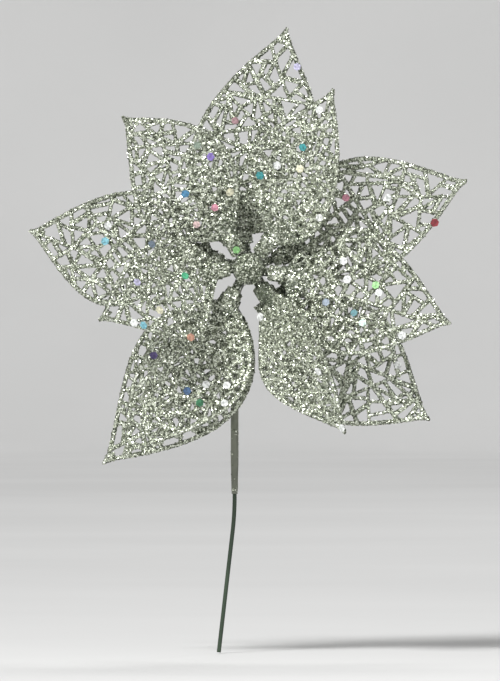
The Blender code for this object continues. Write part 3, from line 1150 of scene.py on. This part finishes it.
    def struts(self, chance: np.random.Generator) -> tuple[Array, Array]:
        """Random straight struts: each splits its cell across the longer way until the cells are small.

        A small cell with four or more sharp corners is split once more, corner to corner, into triangles.

        Args:
            chance: the source of random numbers.

        Returns:
            The struts' start and end points, flat.
        """
        waiting, starts, ends = [self.rim()], [], []
        while waiting:
            cell = waiting.pop()
            x, y = cell[:, 0], cell[:, 1]
            area = abs(float(np.sum(x * np.roll(y, -1) - y * np.roll(x, -1)))) / 2
            middle = cell.mean(axis=0)
            ripe = self.cell_area * (self.cell_growth[0] + self.cell_growth[1] * middle[0] / self.length)
            if area < ripe * chance.uniform(*self.cell_spread):
                corners = self.sharp_corners(cell)
                if len(corners) > 3 and area > self.least_split * ripe:
                    first = int(chance.integers(len(corners)))
                    starts.append(corners[first])
                    ends.append(corners[(first + len(corners) // 2) % len(corners)])
                continue
            _, axes = np.linalg.eigh(np.cov((cell - middle).T))
            turn = math.radians(chance.uniform(-self.strut_turn_deg, self.strut_turn_deg))
            longest = axes[:, 1]
            normal = np.array([
                longest[0] * math.cos(turn) - longest[1] * math.sin(turn),
                longest[0] * math.sin(turn) + longest[1] * math.cos(turn)])
            away = (cell - middle) @ normal
            away = away - float(np.ptp(away)) * chance.uniform(-self.strut_shift, self.strut_shift)
            after = np.roll(np.arange(len(cell)), -1)
            crossing = np.flatnonzero((away >= 0) != (away[after] >= 0))
            if len(crossing) != 2:
                continue
            share = away[crossing] / (away[crossing] - away[after[crossing]])
            cuts = cell[crossing] + share[:, None] * (cell[after[crossing]] - cell[crossing])
            first, second = crossing
            waiting.append(np.concatenate([cuts[:1], cell[first + 1:second + 1], cuts[1:]]))
            waiting.append(np.concatenate([cuts[1:], cell[second + 1:], cell[:first + 1], cuts[:1]]))
            starts.append(cuts[0])
            ends.append(cuts[1])
        return np.array(starts), np.array(ends)

    def web(self, x: Array, y: Array, chance: np.random.Generator) -> Array:
        """How far each flat point is from the nearest strut, as a share of the strut's radius.

        The shares of all struts blend as -log(sum of exp(-fillet share)) / fillet, which rounds the crossings.

        Args:
            x: places along.
            y: places to the left.
            chance: the source of random numbers.

        Returns:
            0 on a strut's centre line, 1 at its edge.
        """
        rim = self.rim()
        starts, ends = self.struts(chance)
        tip = self.length - self.tip_radius
        neck_start, neck_end = self.neck_strut
        starts = np.concatenate([starts, rim, [[tip - self.tip_length, 0.0], [neck_start, 0.0]]])
        ends = np.concatenate([ends, np.roll(rim, -1, axis=0), [[tip, 0.0], [neck_end, 0.0]]])
        radii = np.full(len(starts), self.strut_radius) * chance.uniform(*self.strut_spread, len(starts))
        radii[-2 - len(rim):] = self.rim_radius
        radii[-2:] = self.tip_radius, self.neck_half
        swell = 1 + self.neck_swell * np.clip(1 - x / self.length * self.swell_fall, 0, 1) ** 2
        total = np.zeros_like(x)
        for start, end, radius in zip(starts, ends, radii):
            run = end - start
            share = ((x - start[0]) * run[0] + (y - start[1]) * run[1]) / max(float(run @ run), TINY)
            share = np.clip(share, 0, 1)
            gap = np.hypot(x - start[0] - share * run[0], y - start[1] - share * run[1])
            total += np.exp(-self.fillet * gap / (radius * swell))
        return -np.log(np.maximum(total, self.faintest)) / self.fillet

    def blade(self, chance: np.random.Generator) -> tuple[Skin, Array, Array]:
        """The lattice as a height field above and below the flat blade.

        Height is crown sqrt(1 - share^2) on the points of a grid that lie on the web. Points on a hole's or the
        outline's edge slide down the share's slope to its edge, where the two sheets meet. Grains shift each
        point at random.

        Args:
            chance: the source of random numbers.

        Returns:
            The closed blade, and the flat places and the shares of its points.
        """
        below_foot, past_tip, beside = self.grid_margins
        rows = np.arange(-below_foot, self.length + past_tip, self.grid)
        columns = np.arange(-self.right_half - beside, self.left_half + beside, self.grid)
        x, y = np.meshgrid(rows, columns, indexing="ij")
        share = self.web(x, y, chance)
        mean = (share[:-1, :-1] + share[1:, :-1] + share[1:, 1:] + share[:-1, 1:]) / 4
        kept = mean < 1
        near = np.zeros((len(rows), len(columns)), int)
        for shift_x in (0, 1):
            for shift_y in (0, 1):
                near[shift_x:shift_x + kept.shape[0], shift_y:shift_y + kept.shape[1]] += kept
        slope_x, slope_y = np.gradient(share, self.grid)
        steep = np.sqrt(np.maximum(slope_x**2 + slope_y**2, self.least_slope))
        edge = (near > 0) & (near < 4)
        limit = self.longest_slide * self.grid
        slide = np.clip((1 - share) / steep, -limit, limit) * edge
        x = x + slide * slope_x / steep + chance.normal(0, self.grain / 2, x.shape)
        y = y + slide * slope_y / steep + chance.normal(0, self.grain / 2, x.shape)
        height = self.crown * np.sqrt(np.clip(1 - share**2, self.least_height, 1))
        used = near > 0
        upper = np.full(used.shape, -1)
        upper[used] = np.arange(used.sum())
        inner = near == 4
        lower = upper.copy()
        lower[inner] = used.sum() + np.arange(inner.sum())
        top = np.where(edge, 0, height + chance.normal(0, self.grain, x.shape))
        bottom = -height + chance.normal(0, self.grain, x.shape)
        flat = np.concatenate([
            np.stack([x[used], y[used], top[used]], -1),
            np.stack([x[inner], y[inner], bottom[inner]], -1)])
        i, j = np.nonzero(kept)
        above = np.stack([upper[i, j], upper[i + 1, j], upper[i + 1, j + 1], upper[i, j + 1]], -1)
        below = np.stack([lower[i, j], lower[i, j + 1], lower[i + 1, j + 1], lower[i + 1, j]], -1)
        skin = Skin(self.place(flat), [np.concatenate([above, below])])
        return skin, flat, np.concatenate([share[used], share[inner]])

    def foot(self, chance: np.random.Generator) -> Skin:
        """The foot: a rounded block with a round socket, which tapers into the blade's neck.

        Sections are superellipses, |cos|^(2/power) by |sin|^(2/power), and all but the socket's are rough.

        Args:
            chance: the source of random numbers.

        Returns:
            The closed foot.
        """
        sections = FOOT.sections(self.foot_stretch)
        turn = turns(self.foot_sides)
        power = 2 / sections[:, 3:]
        first = np.sign(np.cos(turn)) * np.abs(np.cos(turn)) ** power * sections[:, 1:2]
        second = np.sign(np.sin(turn)) * np.abs(np.sin(turn)) ** power * sections[:, 2:3]
        outside = sections[:, 1:2] > (HEAD.arm_radius + HEAD.fit_gap) / MM + FOOT.slack
        rough = 1 + chance.normal(0, FOOT.rough, first.shape) * outside
        run = np.broadcast_to(sections[:, :1], first.shape)
        flat = np.stack([run, first * rough, second * rough], -1)
        rings = self.place(flat.reshape(-1, 3)).reshape(flat.shape)
        ends = self.place(np.array([[sections[0, 0], 0, 0], [sections[-1, 0] + FOOT.tail_point, 0, 0]]))
        return tube_skin(rings, ends[0], ends[1])

    def build(self, palette: Palette, seed: int) -> None:
        """Builds the moulding, its flakes and its sequins, and puts them on the petal's body.

        Args:
            palette: the finishes.
            seed: the seed of the petal's random numbers.
        """
        chance = np.random.default_rng(seed)
        blade, flat, share = self.blade(chance)
        foot = self.foot(chance)
        piece = add_piece(self.name + "_moulding", blade + foot, palette.glitter, self.name,
                          stands_for=(self.name,))
        # Strut sides and the neck get the dark moulding colour in place of grains: partly real gaps in the
        # glitter, partly painted shade.
        edge = self.edge_bare_and_shade * np.clip(share, 0, 1) ** self.edge_power
        bare = np.maximum(self.bareness(blade.points), edge)
        lay_bare_and_shade(piece, np.append(bare, np.full(len(foot.points), self.foot_bareness)))
        self.add_glitter(palette, blade, foot, seed)
        self.add_sequins(palette, flat[(share < self.sequin_share) & (flat[:, 2] > 0)], chance)

    def bareness(self, points: Array) -> Array:
        """The share of grains left off the blade near the hub, partly real gaps in the glitter and partly
        painted shade: falls in a straight line along the neck's run.
        """
        away = np.linalg.norm(points - self.blade_line[0], axis=1) / MM
        near, far = self.neck_bare_and_shade_run
        return self.neck_bareness * np.clip((far - away) / (far - near), 0, 1)

    def add_glitter(self, palette: Palette, blade: Skin, foot: Skin, seed: int) -> None:
        """Strews loose flakes over the blade, more on its front and fewer on its neck, and over the foot.

        Args:
            palette: the finishes.
            blade: the blade's skin.
            foot: the foot's skin.
            seed: the seed of the petal's random numbers.
        """
        chance = np.random.default_rng(seed + Seed.STREWING_STEP)
        count = self.front_flakes + self.back_flakes
        places, normals = blade.spread(2 * count, chance)
        stuck = chance.random(len(places)) > self.bareness(places)
        front_side = np.flatnonzero(stuck & (normals[:, 1] < 0))[:self.front_flakes]
        back_side = np.flatnonzero(stuck & (normals[:, 1] >= 0))[:self.back_flakes]
        chosen = np.concatenate([front_side, back_side])
        on_foot = foot.spread(int(self.foot_flakes * (1 - self.foot_bareness)), chance)
        places = np.concatenate([places[chosen], on_foot[0]])
        normals = np.concatenate([normals[chosen], on_foot[1]])
        add_flakes(self.name + "_flakes", places, normals, palette, self.name,
                   seed + Seed.FLAKES_STEP)

    def depth_at(self, spot: Sequin) -> float:
        """How far forward the petal lies where it shows at a sequin's pixel.

        A petal shows there if one of the points of a grid over its outline is within reach of the pixel.

        Args:
            spot: the sequin.

        Returns:
            The y of the nearest grid point, or infinity if it is out of reach.
        """
        runs = np.linspace(*self.look_runs, self.look_rows)
        sides = np.linspace(-self.look_side, self.look_side, self.look_columns)
        share, side = (part.ravel() for part in np.meshgrid(runs, sides, indexing="ij"))
        half = np.where(side > 0, self.half_width(share, True), self.half_width(share, False))
        points = self.place(np.stack([share * self.length, side * half, np.zeros_like(side)], -1))
        gaps = np.linalg.norm(STUDIO.to_pixels(points) - (spot.x_px, spot.y_px), axis=1)
        closest = int(gaps.argmin())
        return float(points[closest, 1]) if gaps[closest] < self.look_reach_px else math.inf

    def add_sequins(self, palette: Palette, solid: Array, chance: np.random.Generator) -> None:
        """Lays the petal's sequins on the struts nearest to their pixels, and the foot's on the foot.

        Args:
            palette: the finishes.
            solid: flat places on the struts.
            chance: the source of random numbers.
        """
        seen = STUDIO.to_pixels(self.place(solid * np.array([1, 1, 0])))
        wanted = np.array([[spot.x_px, spot.y_px] for spot in self.sequins]).reshape(-1, 2)
        gaps = np.linalg.norm(seen[None] - wanted[:, None], axis=2)
        flat = solid[gaps.argmin(axis=1)]
        flat[:, 2] = self.crown + self.sequin_rise
        tints = [spot.tint for spot in self.sequins]
        if self.foot_tint is not None:
            middle = -HEAD.foot_length / MM / 2 - self.foot_stretch
            flat = np.concatenate([flat, [[middle, 0.0, HEAD.foot_thickness / MM / 2 + self.sequin_rise]]])
            tints.append(self.foot_tint)
        if not tints:
            return
        normals = self.frames(flat[:, 0] / self.length)[3]
        skin = SEQUIN_LOT.skin(self.place(flat), normals, chance)
        piece = add_piece(self.name + "_sequins", skin, palette.sequins, self.name)
        colours = np.array([[*tint.value, 1.0] for tint in tints])
        shade = piece.data.attributes.new(SequinFinish.attribute, "FLOAT_COLOR", "FACE")
        shade.data.foreach_set("color", SEQUIN_LOT.on_faces(colours).ravel())


def rear(name: str, *sizes: float, **looks: float) -> LatticePetal:
    """A rear petal from its row of sizes and what sets its looks apart."""
    return LatticePetal(name, Tier.REAR, *sizes, **looks)


def front(name: str, *sizes: float, **looks: float | Tint) -> LatticePetal:
    """A front petal from its row of sizes and what sets its looks apart."""
    return LatticePetal(name, Tier.FRONT, *sizes, **looks)


# Order: arm angle, arm lift, tip angle, reach, tip rise, left half and peak, right half and peak, twist
PETALS = (
    rear("rear_petal_top", 97, 5, 80.7, 83.9, 3, 16.4, 0.76, 22, 1.3, 0, neck_half=6.5, foot_stretch=0.5,
         neck_bareness=0.15),
    rear("rear_petal_right", 20, 6, 21.9, 81.2, 5, 22.7, 0.95, 16.7, 0.85, 4),
    rear("rear_petal_lower_right", -50, 3, -39.9, 81.6, 2, 20.5, 1.06, 21, 0.9, -4, neck_half=5),
    rear("rear_petal_lower_left", -118, 0, -126.7, 84.3, -4, 21.5, 0.8, 19, 0.8, 3),
    rear("rear_petal_left", 166, 6, 170.5, 76.6, 5, 22.4, 1.24, 17.7, 0.86, -5),
    front("front_petal_top", 52, 22, 64.7, 67.7, 22, 20.5, 1.0, 11.5, 0.7, -9, foot_stretch=2.4,
          cell_area=25, strut_radius=0.72),
    front("front_petal_right", -12, 17, -15.5, 72.1, 18, 21, 0.75, 21.5, 0.9, -5, foot_stretch=1.4),
    front("front_petal_lower_right", -57, 24, -59.7, 65.8, 24, 10.5, 0.8, 18, 0.9, 38, foot_stretch=1.2,
          foot_bareness=0.85, cell_area=24, strut_radius=0.8, neck_bareness=0.3),
    front("front_petal_lower_left", -122, 12, -123.7, 77.3, 13, 20.5, 0.8, 13.5, 1.1, 0, cell_area=32),
    front("front_petal_left", 184, 36, 199.7, 54.1, 36, 21.5, 0.9, 13, 0.85, 6),
    front("front_petal_upper_left", 122, 22, 129.9, 67.2, 24, 20, 0.85, 17.4, 1.08, -5, foot_stretch=2.4,
          foot_tint=Tint.BRIGHT_GREEN, cell_area=32),
)


def share_out_sequins() -> None:
    """Gives each sequin to the foremost petal that shows at its pixel."""
    for spot in SEQUINS:
        depths = [petal.depth_at(spot) for petal in PETALS]
        if min(depths) < math.inf:
            PETALS[depths.index(min(depths))].sequins.append(spot)


@dataclass
class Spider:
    """A ring on the peg with one round arm for each petal of its tier."""

    tier: Tier
    body: str
    sides: int = 40
    arm_sides: int = 28
    fineness: float = 0.4 * MM
    chamfer: float = 0.4 * MM
    flare: float = 0.5 * MM
    flare_fade: float = 1.1 * MM
    end_runs: Pair = (0.2 * MM, 0.12 * MM)
    end_round: float = 0.3 * MM
    rim_band: float = 0.6 * MM
    foot_clear: float = 0.7 * MM
    flakes: int = 240
    # Share of the ring's and arms' grains that show the dark moulding colour: partly real gaps in the glitter,
    # partly painted shade round the hub.
    bareness: float = 0.7

    def ring(self) -> Skin:
        """The ring: its chamfered profile turned about the flower's axis."""
        start, end = HEAD.rear_ring if self.tier is Tier.REAR else HEAD.front_ring
        outer, bore, cut = HEAD.ring_radius, HEAD.bore_radius, self.chamfer
        corners = np.array([
            [outer, start + cut], [outer, end - cut], [outer - cut, end], [bore, end], [bore, start],
            [outer - cut, start]])
        return wheel_skin(HEAD.turned(fine_line(corners, self.fineness, closed=True), self.sides))

    def arm(self, petal: LatticePetal) -> Skin:
        """One arm: a round bar whose radius grows by flare exp(-run / fade) towards the ring.

        Args:
            petal: the petal that it holds.

        Returns:
            The closed arm, with a rounded end.
        """
        lift = math.radians(petal.lift_deg)
        root = (HEAD.bore_radius + HEAD.bore_wall + HEAD.arm_radius * math.sin(lift)) / math.cos(lift)
        tip = HEAD.foot_end - HEAD.socket_wall - HEAD.fit_gap
        straight, bent = self.end_runs
        run = np.append(np.arange(root, tip - straight, self.fineness), [tip - bent, tip])
        radii = HEAD.arm_radius + self.flare * np.exp(-np.maximum(run - HEAD.ring_radius, 0) / self.flare_fade)
        radii[run < HEAD.ring_radius] = HEAD.arm_radius
        radii[-1] -= self.end_round
        centres = HEAD.centre(self.tier) + run[:, None] * petal.along
        return tube_skin(round_rings(centres, radii, self.arm_sides), centres[0], centres[-1])

    def build(self, palette: Palette, seed: int) -> None:
        """Builds the spider's moulding and flakes.

        Args:
            palette: the finishes.
            seed: the seed of its random numbers.
        """
        skin = self.ring()
        petals = [petal for petal in PETALS if petal.tier is self.tier]
        arms = [self.arm(petal) for petal in petals]
        chance = np.random.default_rng(seed)
        places, normals = skin.spread(self.flakes, chance)
        away = np.hypot(places[:, 0] - HEAD.x, places[:, 2] - HEAD.z)
        shown = [away > HEAD.ring_radius - self.rim_band]
        spots = [(places, normals)]
        for arm, petal in zip(arms, petals):
            spots.append(arm.spread(self.flakes // 3, chance))
            away = np.linalg.norm(spots[-1][0] - HEAD.centre(self.tier), axis=1)
            shown.append((away > HEAD.ring_radius) & (away < petal.foot_start - self.foot_clear))
            skin = skin + arm
        piece = add_piece(self.body + "_spider_moulding", skin, palette.glitter, self.body, True,
                          (self.tier.value,))
        # Dark moulding colour in place of most grains: partly real gaps in the glitter, partly painted shade
        # round the hub.
        lay_bare_and_shade(piece, np.full(len(skin.points), self.bareness))
        kept = np.concatenate(shown)
        places = np.concatenate([place for place, _ in spots])[kept]
        normals = np.concatenate([normal for _, normal in spots])[kept]
        add_flakes(self.body + "_spider_flakes", places, normals, palette, self.body, seed + 1)


@dataclass
class HeadPieces:
    """The calyx with its peg behind the tiers, and the button in front of them."""

    sides: int = 64
    fineness: float = 0.4 * MM
    chamfer: float = 0.5 * MM
    dome_end: float = 0.06
    dome_rings: int = 22
    lump: float = 0.12 * MM
    sag: float = 0.32
    lobes: int = 3
    lobe_depth: float = 0.13
    # Share of the button's grains that show the dark moulding colour: partly real gaps in the glitter, partly
    # painted shade round the hub.
    bareness: float = 0.42
    flakes: int = 240
    bare_rim: float = 0.4 * MM

    def calyx(self) -> Skin:
        """The calyx and peg: from the sleeve's socket, over the flared cup, to the peg's end."""
        socket = HEAD.sleeve_radius + HEAD.fit_gap
        rear_face, front_face, cut = HEAD.calyx_rear, HEAD.calyx_front, self.chamfer
        bottom = rear_face + HEAD.socket_depth
        peg_end = HEAD.button_start + HEAD.button_length - HEAD.button_wall - HEAD.fit_gap
        corners = np.array([
            [socket, bottom], [socket, rear_face], [HEAD.calyx_rear_radius - cut / 2, rear_face],
            [HEAD.calyx_rear_radius, rear_face + cut], [HEAD.calyx_front_radius, front_face - cut],
            [HEAD.calyx_front_radius - cut, front_face], [HEAD.peg_radius, front_face],
            [HEAD.peg_radius, peg_end]])
        rings = HEAD.turned(fine_line(corners, self.fineness), self.sides)
        return tube_skin(rings, HEAD.on_axis(bottom), HEAD.on_axis(peg_end))

    def button(self, chance: np.random.Generator) -> Skin:
        """The button: a dome, radius sin(turn) by length cos(turn), with a lumpy coat and a blind bore.

        The dome is drawn in between its lobes, by depth (1 + sin(lobes turn)) / 2, and its lower half sags: a
        point below the axis goes down by a share of its drop. Both grow from nothing at the bore.

        Args:
            chance: the source of random numbers.

        Returns:
            The closed button.
        """
        start, bore = HEAD.button_start, HEAD.bore_radius
        roof = start + HEAD.button_length - HEAD.button_wall
        under = np.array([[bore, roof], [bore, start], [HEAD.button_radius, start]])
        rise = np.linspace(math.pi / 2, self.dome_end, self.dome_rings)[1:, None]
        dome = np.concatenate(
            [HEAD.button_radius * np.sin(rise), start + HEAD.button_length * np.cos(rise)], 1)
        profile = np.concatenate([fine_line(under, self.fineness), dome])
        rings = HEAD.turned(profile, self.sides)
        outward = np.clip((profile[:, :1] - bore) / (HEAD.button_radius - bore), 0, 1)
        swell = 1 - self.lobe_depth * outward * (1 + np.sin(self.lobes * turns(self.sides))) / 2
        rings[..., 0] = HEAD.x + (rings[..., 0] - HEAD.x) * swell
        rings[..., 2] = HEAD.z + (rings[..., 2] - HEAD.z) * swell
        rings[..., 2] += self.sag * outward * np.minimum(rings[..., 2] - HEAD.z, 0)
        rings[-len(dome):] += chance.normal(0, self.lump, rings[-len(dome):].shape)
        return tube_skin(rings, HEAD.on_axis(roof), HEAD.on_axis(start + HEAD.button_length))

    def build(self, palette: Palette, seed: int) -> None:
        """Builds the calyx, the button and the button's flakes.

        Args:
            palette: the finishes.
            seed: the seed of the random numbers.
        """
        chance = np.random.default_rng(seed)
        add_piece("calyx_moulding", self.calyx(), palette.moulding, "head", True, ("calyx_peg",))
        button = self.button(chance)
        piece = add_piece("button_moulding", button, palette.glitter, "head", False,
                          ("centre_button",))
        # Dark moulding colour in place of some grains: partly real gaps in the glitter, partly painted shade
        # round the hub.
        lay_bare_and_shade(piece, np.full(len(button.points), self.bareness))
        places, normals = button.spread(self.flakes, chance)
        proud = (places[:, 1] < -(HEAD.button_start + self.bare_rim)) & (normals[:, 1] < 0)
        add_flakes("button_flakes", places[proud], normals[proud], palette, "head", seed + 1)


@dataclass
class Stem:
    """The sleeve that the head stands on, and the coated wire that pushes into it."""

    lean: float = 0.1146
    lean_top: float = 42 * MM
    bend_top: float = 54 * MM
    core_radius: float = 0.4 * MM
    coat_radius: float = 0.72 * MM
    core_gap: float = 0.1 * MM
    coat_end_wall: float = 1.5 * MM
    sleeve_mouth: float = 55 * MM
    sleeve_gap: float = 0.2 * MM
    mouth_radius: float = 1.06 * MM
    mouth_taper: float = 11 * MM
    lip_share: float = 0.94
    lip_rise: float = 0.12
    insertion: float = 24 * MM
    bore_spare: float = 2 * MM
    step: float = 1.0 * MM
    bend_points: int = 40
    sides: int = 32
    core_sides: int = 20
    fleck_rows_px: Pair = (432.0, 491.0)
    flecks_in_row: int = 9
    fleck_spread: float = 0.4 * MM
    fleck_turn: float = 0.6
    stray_flakes: int = 90

    @property
    def sleeve_x(self) -> float:
        """Where the sleeve stands: the wire's place once it is upright."""
        return self.lean * (self.lean_top + self.bend_top) / 2

    @property
    def wire_top(self) -> float:
        """The height at which the wire ends inside the sleeve."""
        return self.sleeve_mouth + self.insertion

    def wire_line(self, top: float) -> Array:
        """The wire's centre line up to a height: a straight lean that eases upright as a parabola."""
        heights = np.arange(0, top, self.step)
        reach = self.bend_top - self.lean_top
        eased = np.clip(heights - self.lean_top, 0, reach)
        x = self.lean * (np.minimum(heights, self.lean_top) + eased - eased**2 / (2 * reach))
        return np.stack([x, np.zeros_like(x), heights], -1)

    def upright(self, top: float) -> Array:
        """The sleeve's straight centre line, from its mouth up to a height."""
        heights = np.arange(self.sleeve_mouth, top, self.step)
        return np.stack([np.full_like(heights, self.sleeve_x), np.zeros_like(heights), heights], -1)

    def sleeve_line(self) -> Array:
        """Straight up round the wire, then by a cubic curve forward to the flower's axis, then along it."""
        low = np.array([self.sleeve_x, 0.0, HEAD.z - HEAD.neck_rise])
        high = HEAD.on_axis(HEAD.neck_reach)
        rising = low + np.array([0.0, 0.0, HEAD.neck_pull * HEAD.neck_rise])
        leaving = high + np.array([0.0, HEAD.neck_pull * HEAD.neck_reach, 0.0])
        share = np.linspace(0, 1, self.bend_points)[:, None]
        rest = 1 - share
        bend = rest**3 * low + 3 * rest**2 * share * rising + 3 * rest * share**2 * leaving + share**3 * high
        end = HEAD.on_axis(HEAD.calyx_rear + HEAD.socket_depth - HEAD.fit_gap)
        return np.concatenate([self.upright(low[2]), bend, end[None]])

    def tapered(self, run: Array, radius: float, mouth: float) -> Array:
        """Radii that grow in a straight line from the mouth's to the tube's along the taper."""
        return mouth + (radius - mouth) * np.clip(run / self.mouth_taper, 0, 1)

    def hollow(self, bore_line: Array, bore: float, line: Array, radius: float, mouth: float) -> Skin:
        """A tube with a blind bore: rings from the bore's bottom to its mouth, then over the outside.

        Args:
            bore_line: the bore's centre line, from its mouth to its bottom.
            bore: the bore's radius.
            line: the tube's centre line, from its mouth to its far end.
            radius: the tube's radius.
            mouth: the outside's radius at the mouth.

        Returns:
            The closed tube.
        """
        inside = round_rings(bore_line, np.full(len(bore_line), bore), self.sides)[::-1]
        radii = self.tapered(np.linalg.norm(line - line[0], axis=1), radius, mouth)
        outside = round_rings(line, radii, self.sides)
        lip = round_rings(line[:2], np.full(2, mouth * self.lip_share), self.sides)[:1]
        outside[0] += (outside[1] - outside[0]) * self.lip_rise
        return tube_skin(np.concatenate([inside, lip, outside]), bore_line[-1], line[-1])

    def build(self, palette: Palette, seed: int) -> None:
        """Builds the core, the coat, the sleeve and the sleeve's stray flakes.

        Args:
            palette: the finishes.
            seed: the seed of the random numbers.
        """
        core_top = self.wire_top - self.coat_end_wall - self.core_gap
        core_line = self.wire_line(core_top)
        core = round_rings(core_line, np.full(len(core_line), self.core_radius), self.core_sides)
        add_piece("core_wire", tube_skin(core, core_line[0], core_line[-1]), palette.steel, "stem",
                  True, ("wire_core",))
        coat = self.hollow(self.wire_line(core_top + self.core_gap), self.core_radius + self.core_gap,
                           self.wire_line(self.wire_top), self.coat_radius, self.coat_radius)
        add_piece("coat_tube", coat, palette.coat, "stem", True, ("wire_coat",))
        sleeve = self.hollow(self.upright(self.wire_top + self.bore_spare), self.coat_radius + self.sleeve_gap,
                             self.sleeve_line(), HEAD.sleeve_radius, self.mouth_radius)
        add_piece("sleeve_tube", sleeve, palette.sleeve, "head", True, ("stem_sleeve",))
        self.add_flecks(palette, seed)

    def add_flecks(self, palette: Palette, seed: int) -> None:
        """Sticks bright flecks on the sleeve's front at the photograph's pixel rows, and strays all round it.

        Args:
            palette: the finishes.
            seed: the seed of the random numbers.
        """
        chance = np.random.default_rng(seed)
        bright = (STUDIO.stem_z_px - np.repeat(self.fleck_rows_px, self.flecks_in_row)) * STUDIO.pixel
        bright = bright + chance.normal(0, self.fleck_spread, len(bright))
        strays = chance.uniform(self.sleeve_mouth + self.step, HEAD.z - HEAD.neck_rise, self.stray_flakes)
        heights = np.concatenate([bright, strays])
        facing = chance.normal(0, self.fleck_turn, len(bright))
        turn = np.concatenate([facing, chance.uniform(-math.pi, math.pi, len(strays))])
        normals = np.stack([np.sin(turn), -np.cos(turn), np.zeros_like(turn)], -1)
        radii = self.tapered(heights - self.sleeve_mouth, HEAD.sleeve_radius, self.mouth_radius)
        places = normals * radii[:, None] + np.array([self.sleeve_x, 0.0, 0.0])
        places[:, 2] = heights
        add_flakes("sleeve_flakes", places, normals, palette, "head", seed + 1)


def main() -> None:
    """Builds the studio and the pick's classes in order."""
    logging.basicConfig(level=logging.INFO)
    bpy.context.scene.view_settings.view_transform = "Standard"
    for name in ("Cube", "Light", "Camera"):
        stray = bpy.data.objects.get(name)
        if stray is not None:
            bpy.data.objects.remove(stray)
    STUDIO.build()
    palette = Palette.mixed()
    Stem().build(palette, Seed.STEM)
    HeadPieces().build(palette, Seed.HEAD)
    Spider(Tier.REAR, "rear_tier").build(palette, Seed.REAR_SPIDER)
    Spider(Tier.FRONT, "front_tier").build(palette, Seed.FRONT_SPIDER)
    share_out_sequins()
    for seed, petal in enumerate(PETALS, Seed.PETALS):
        petal.build(palette, seed)


if __name__ == "__main__":
    main()
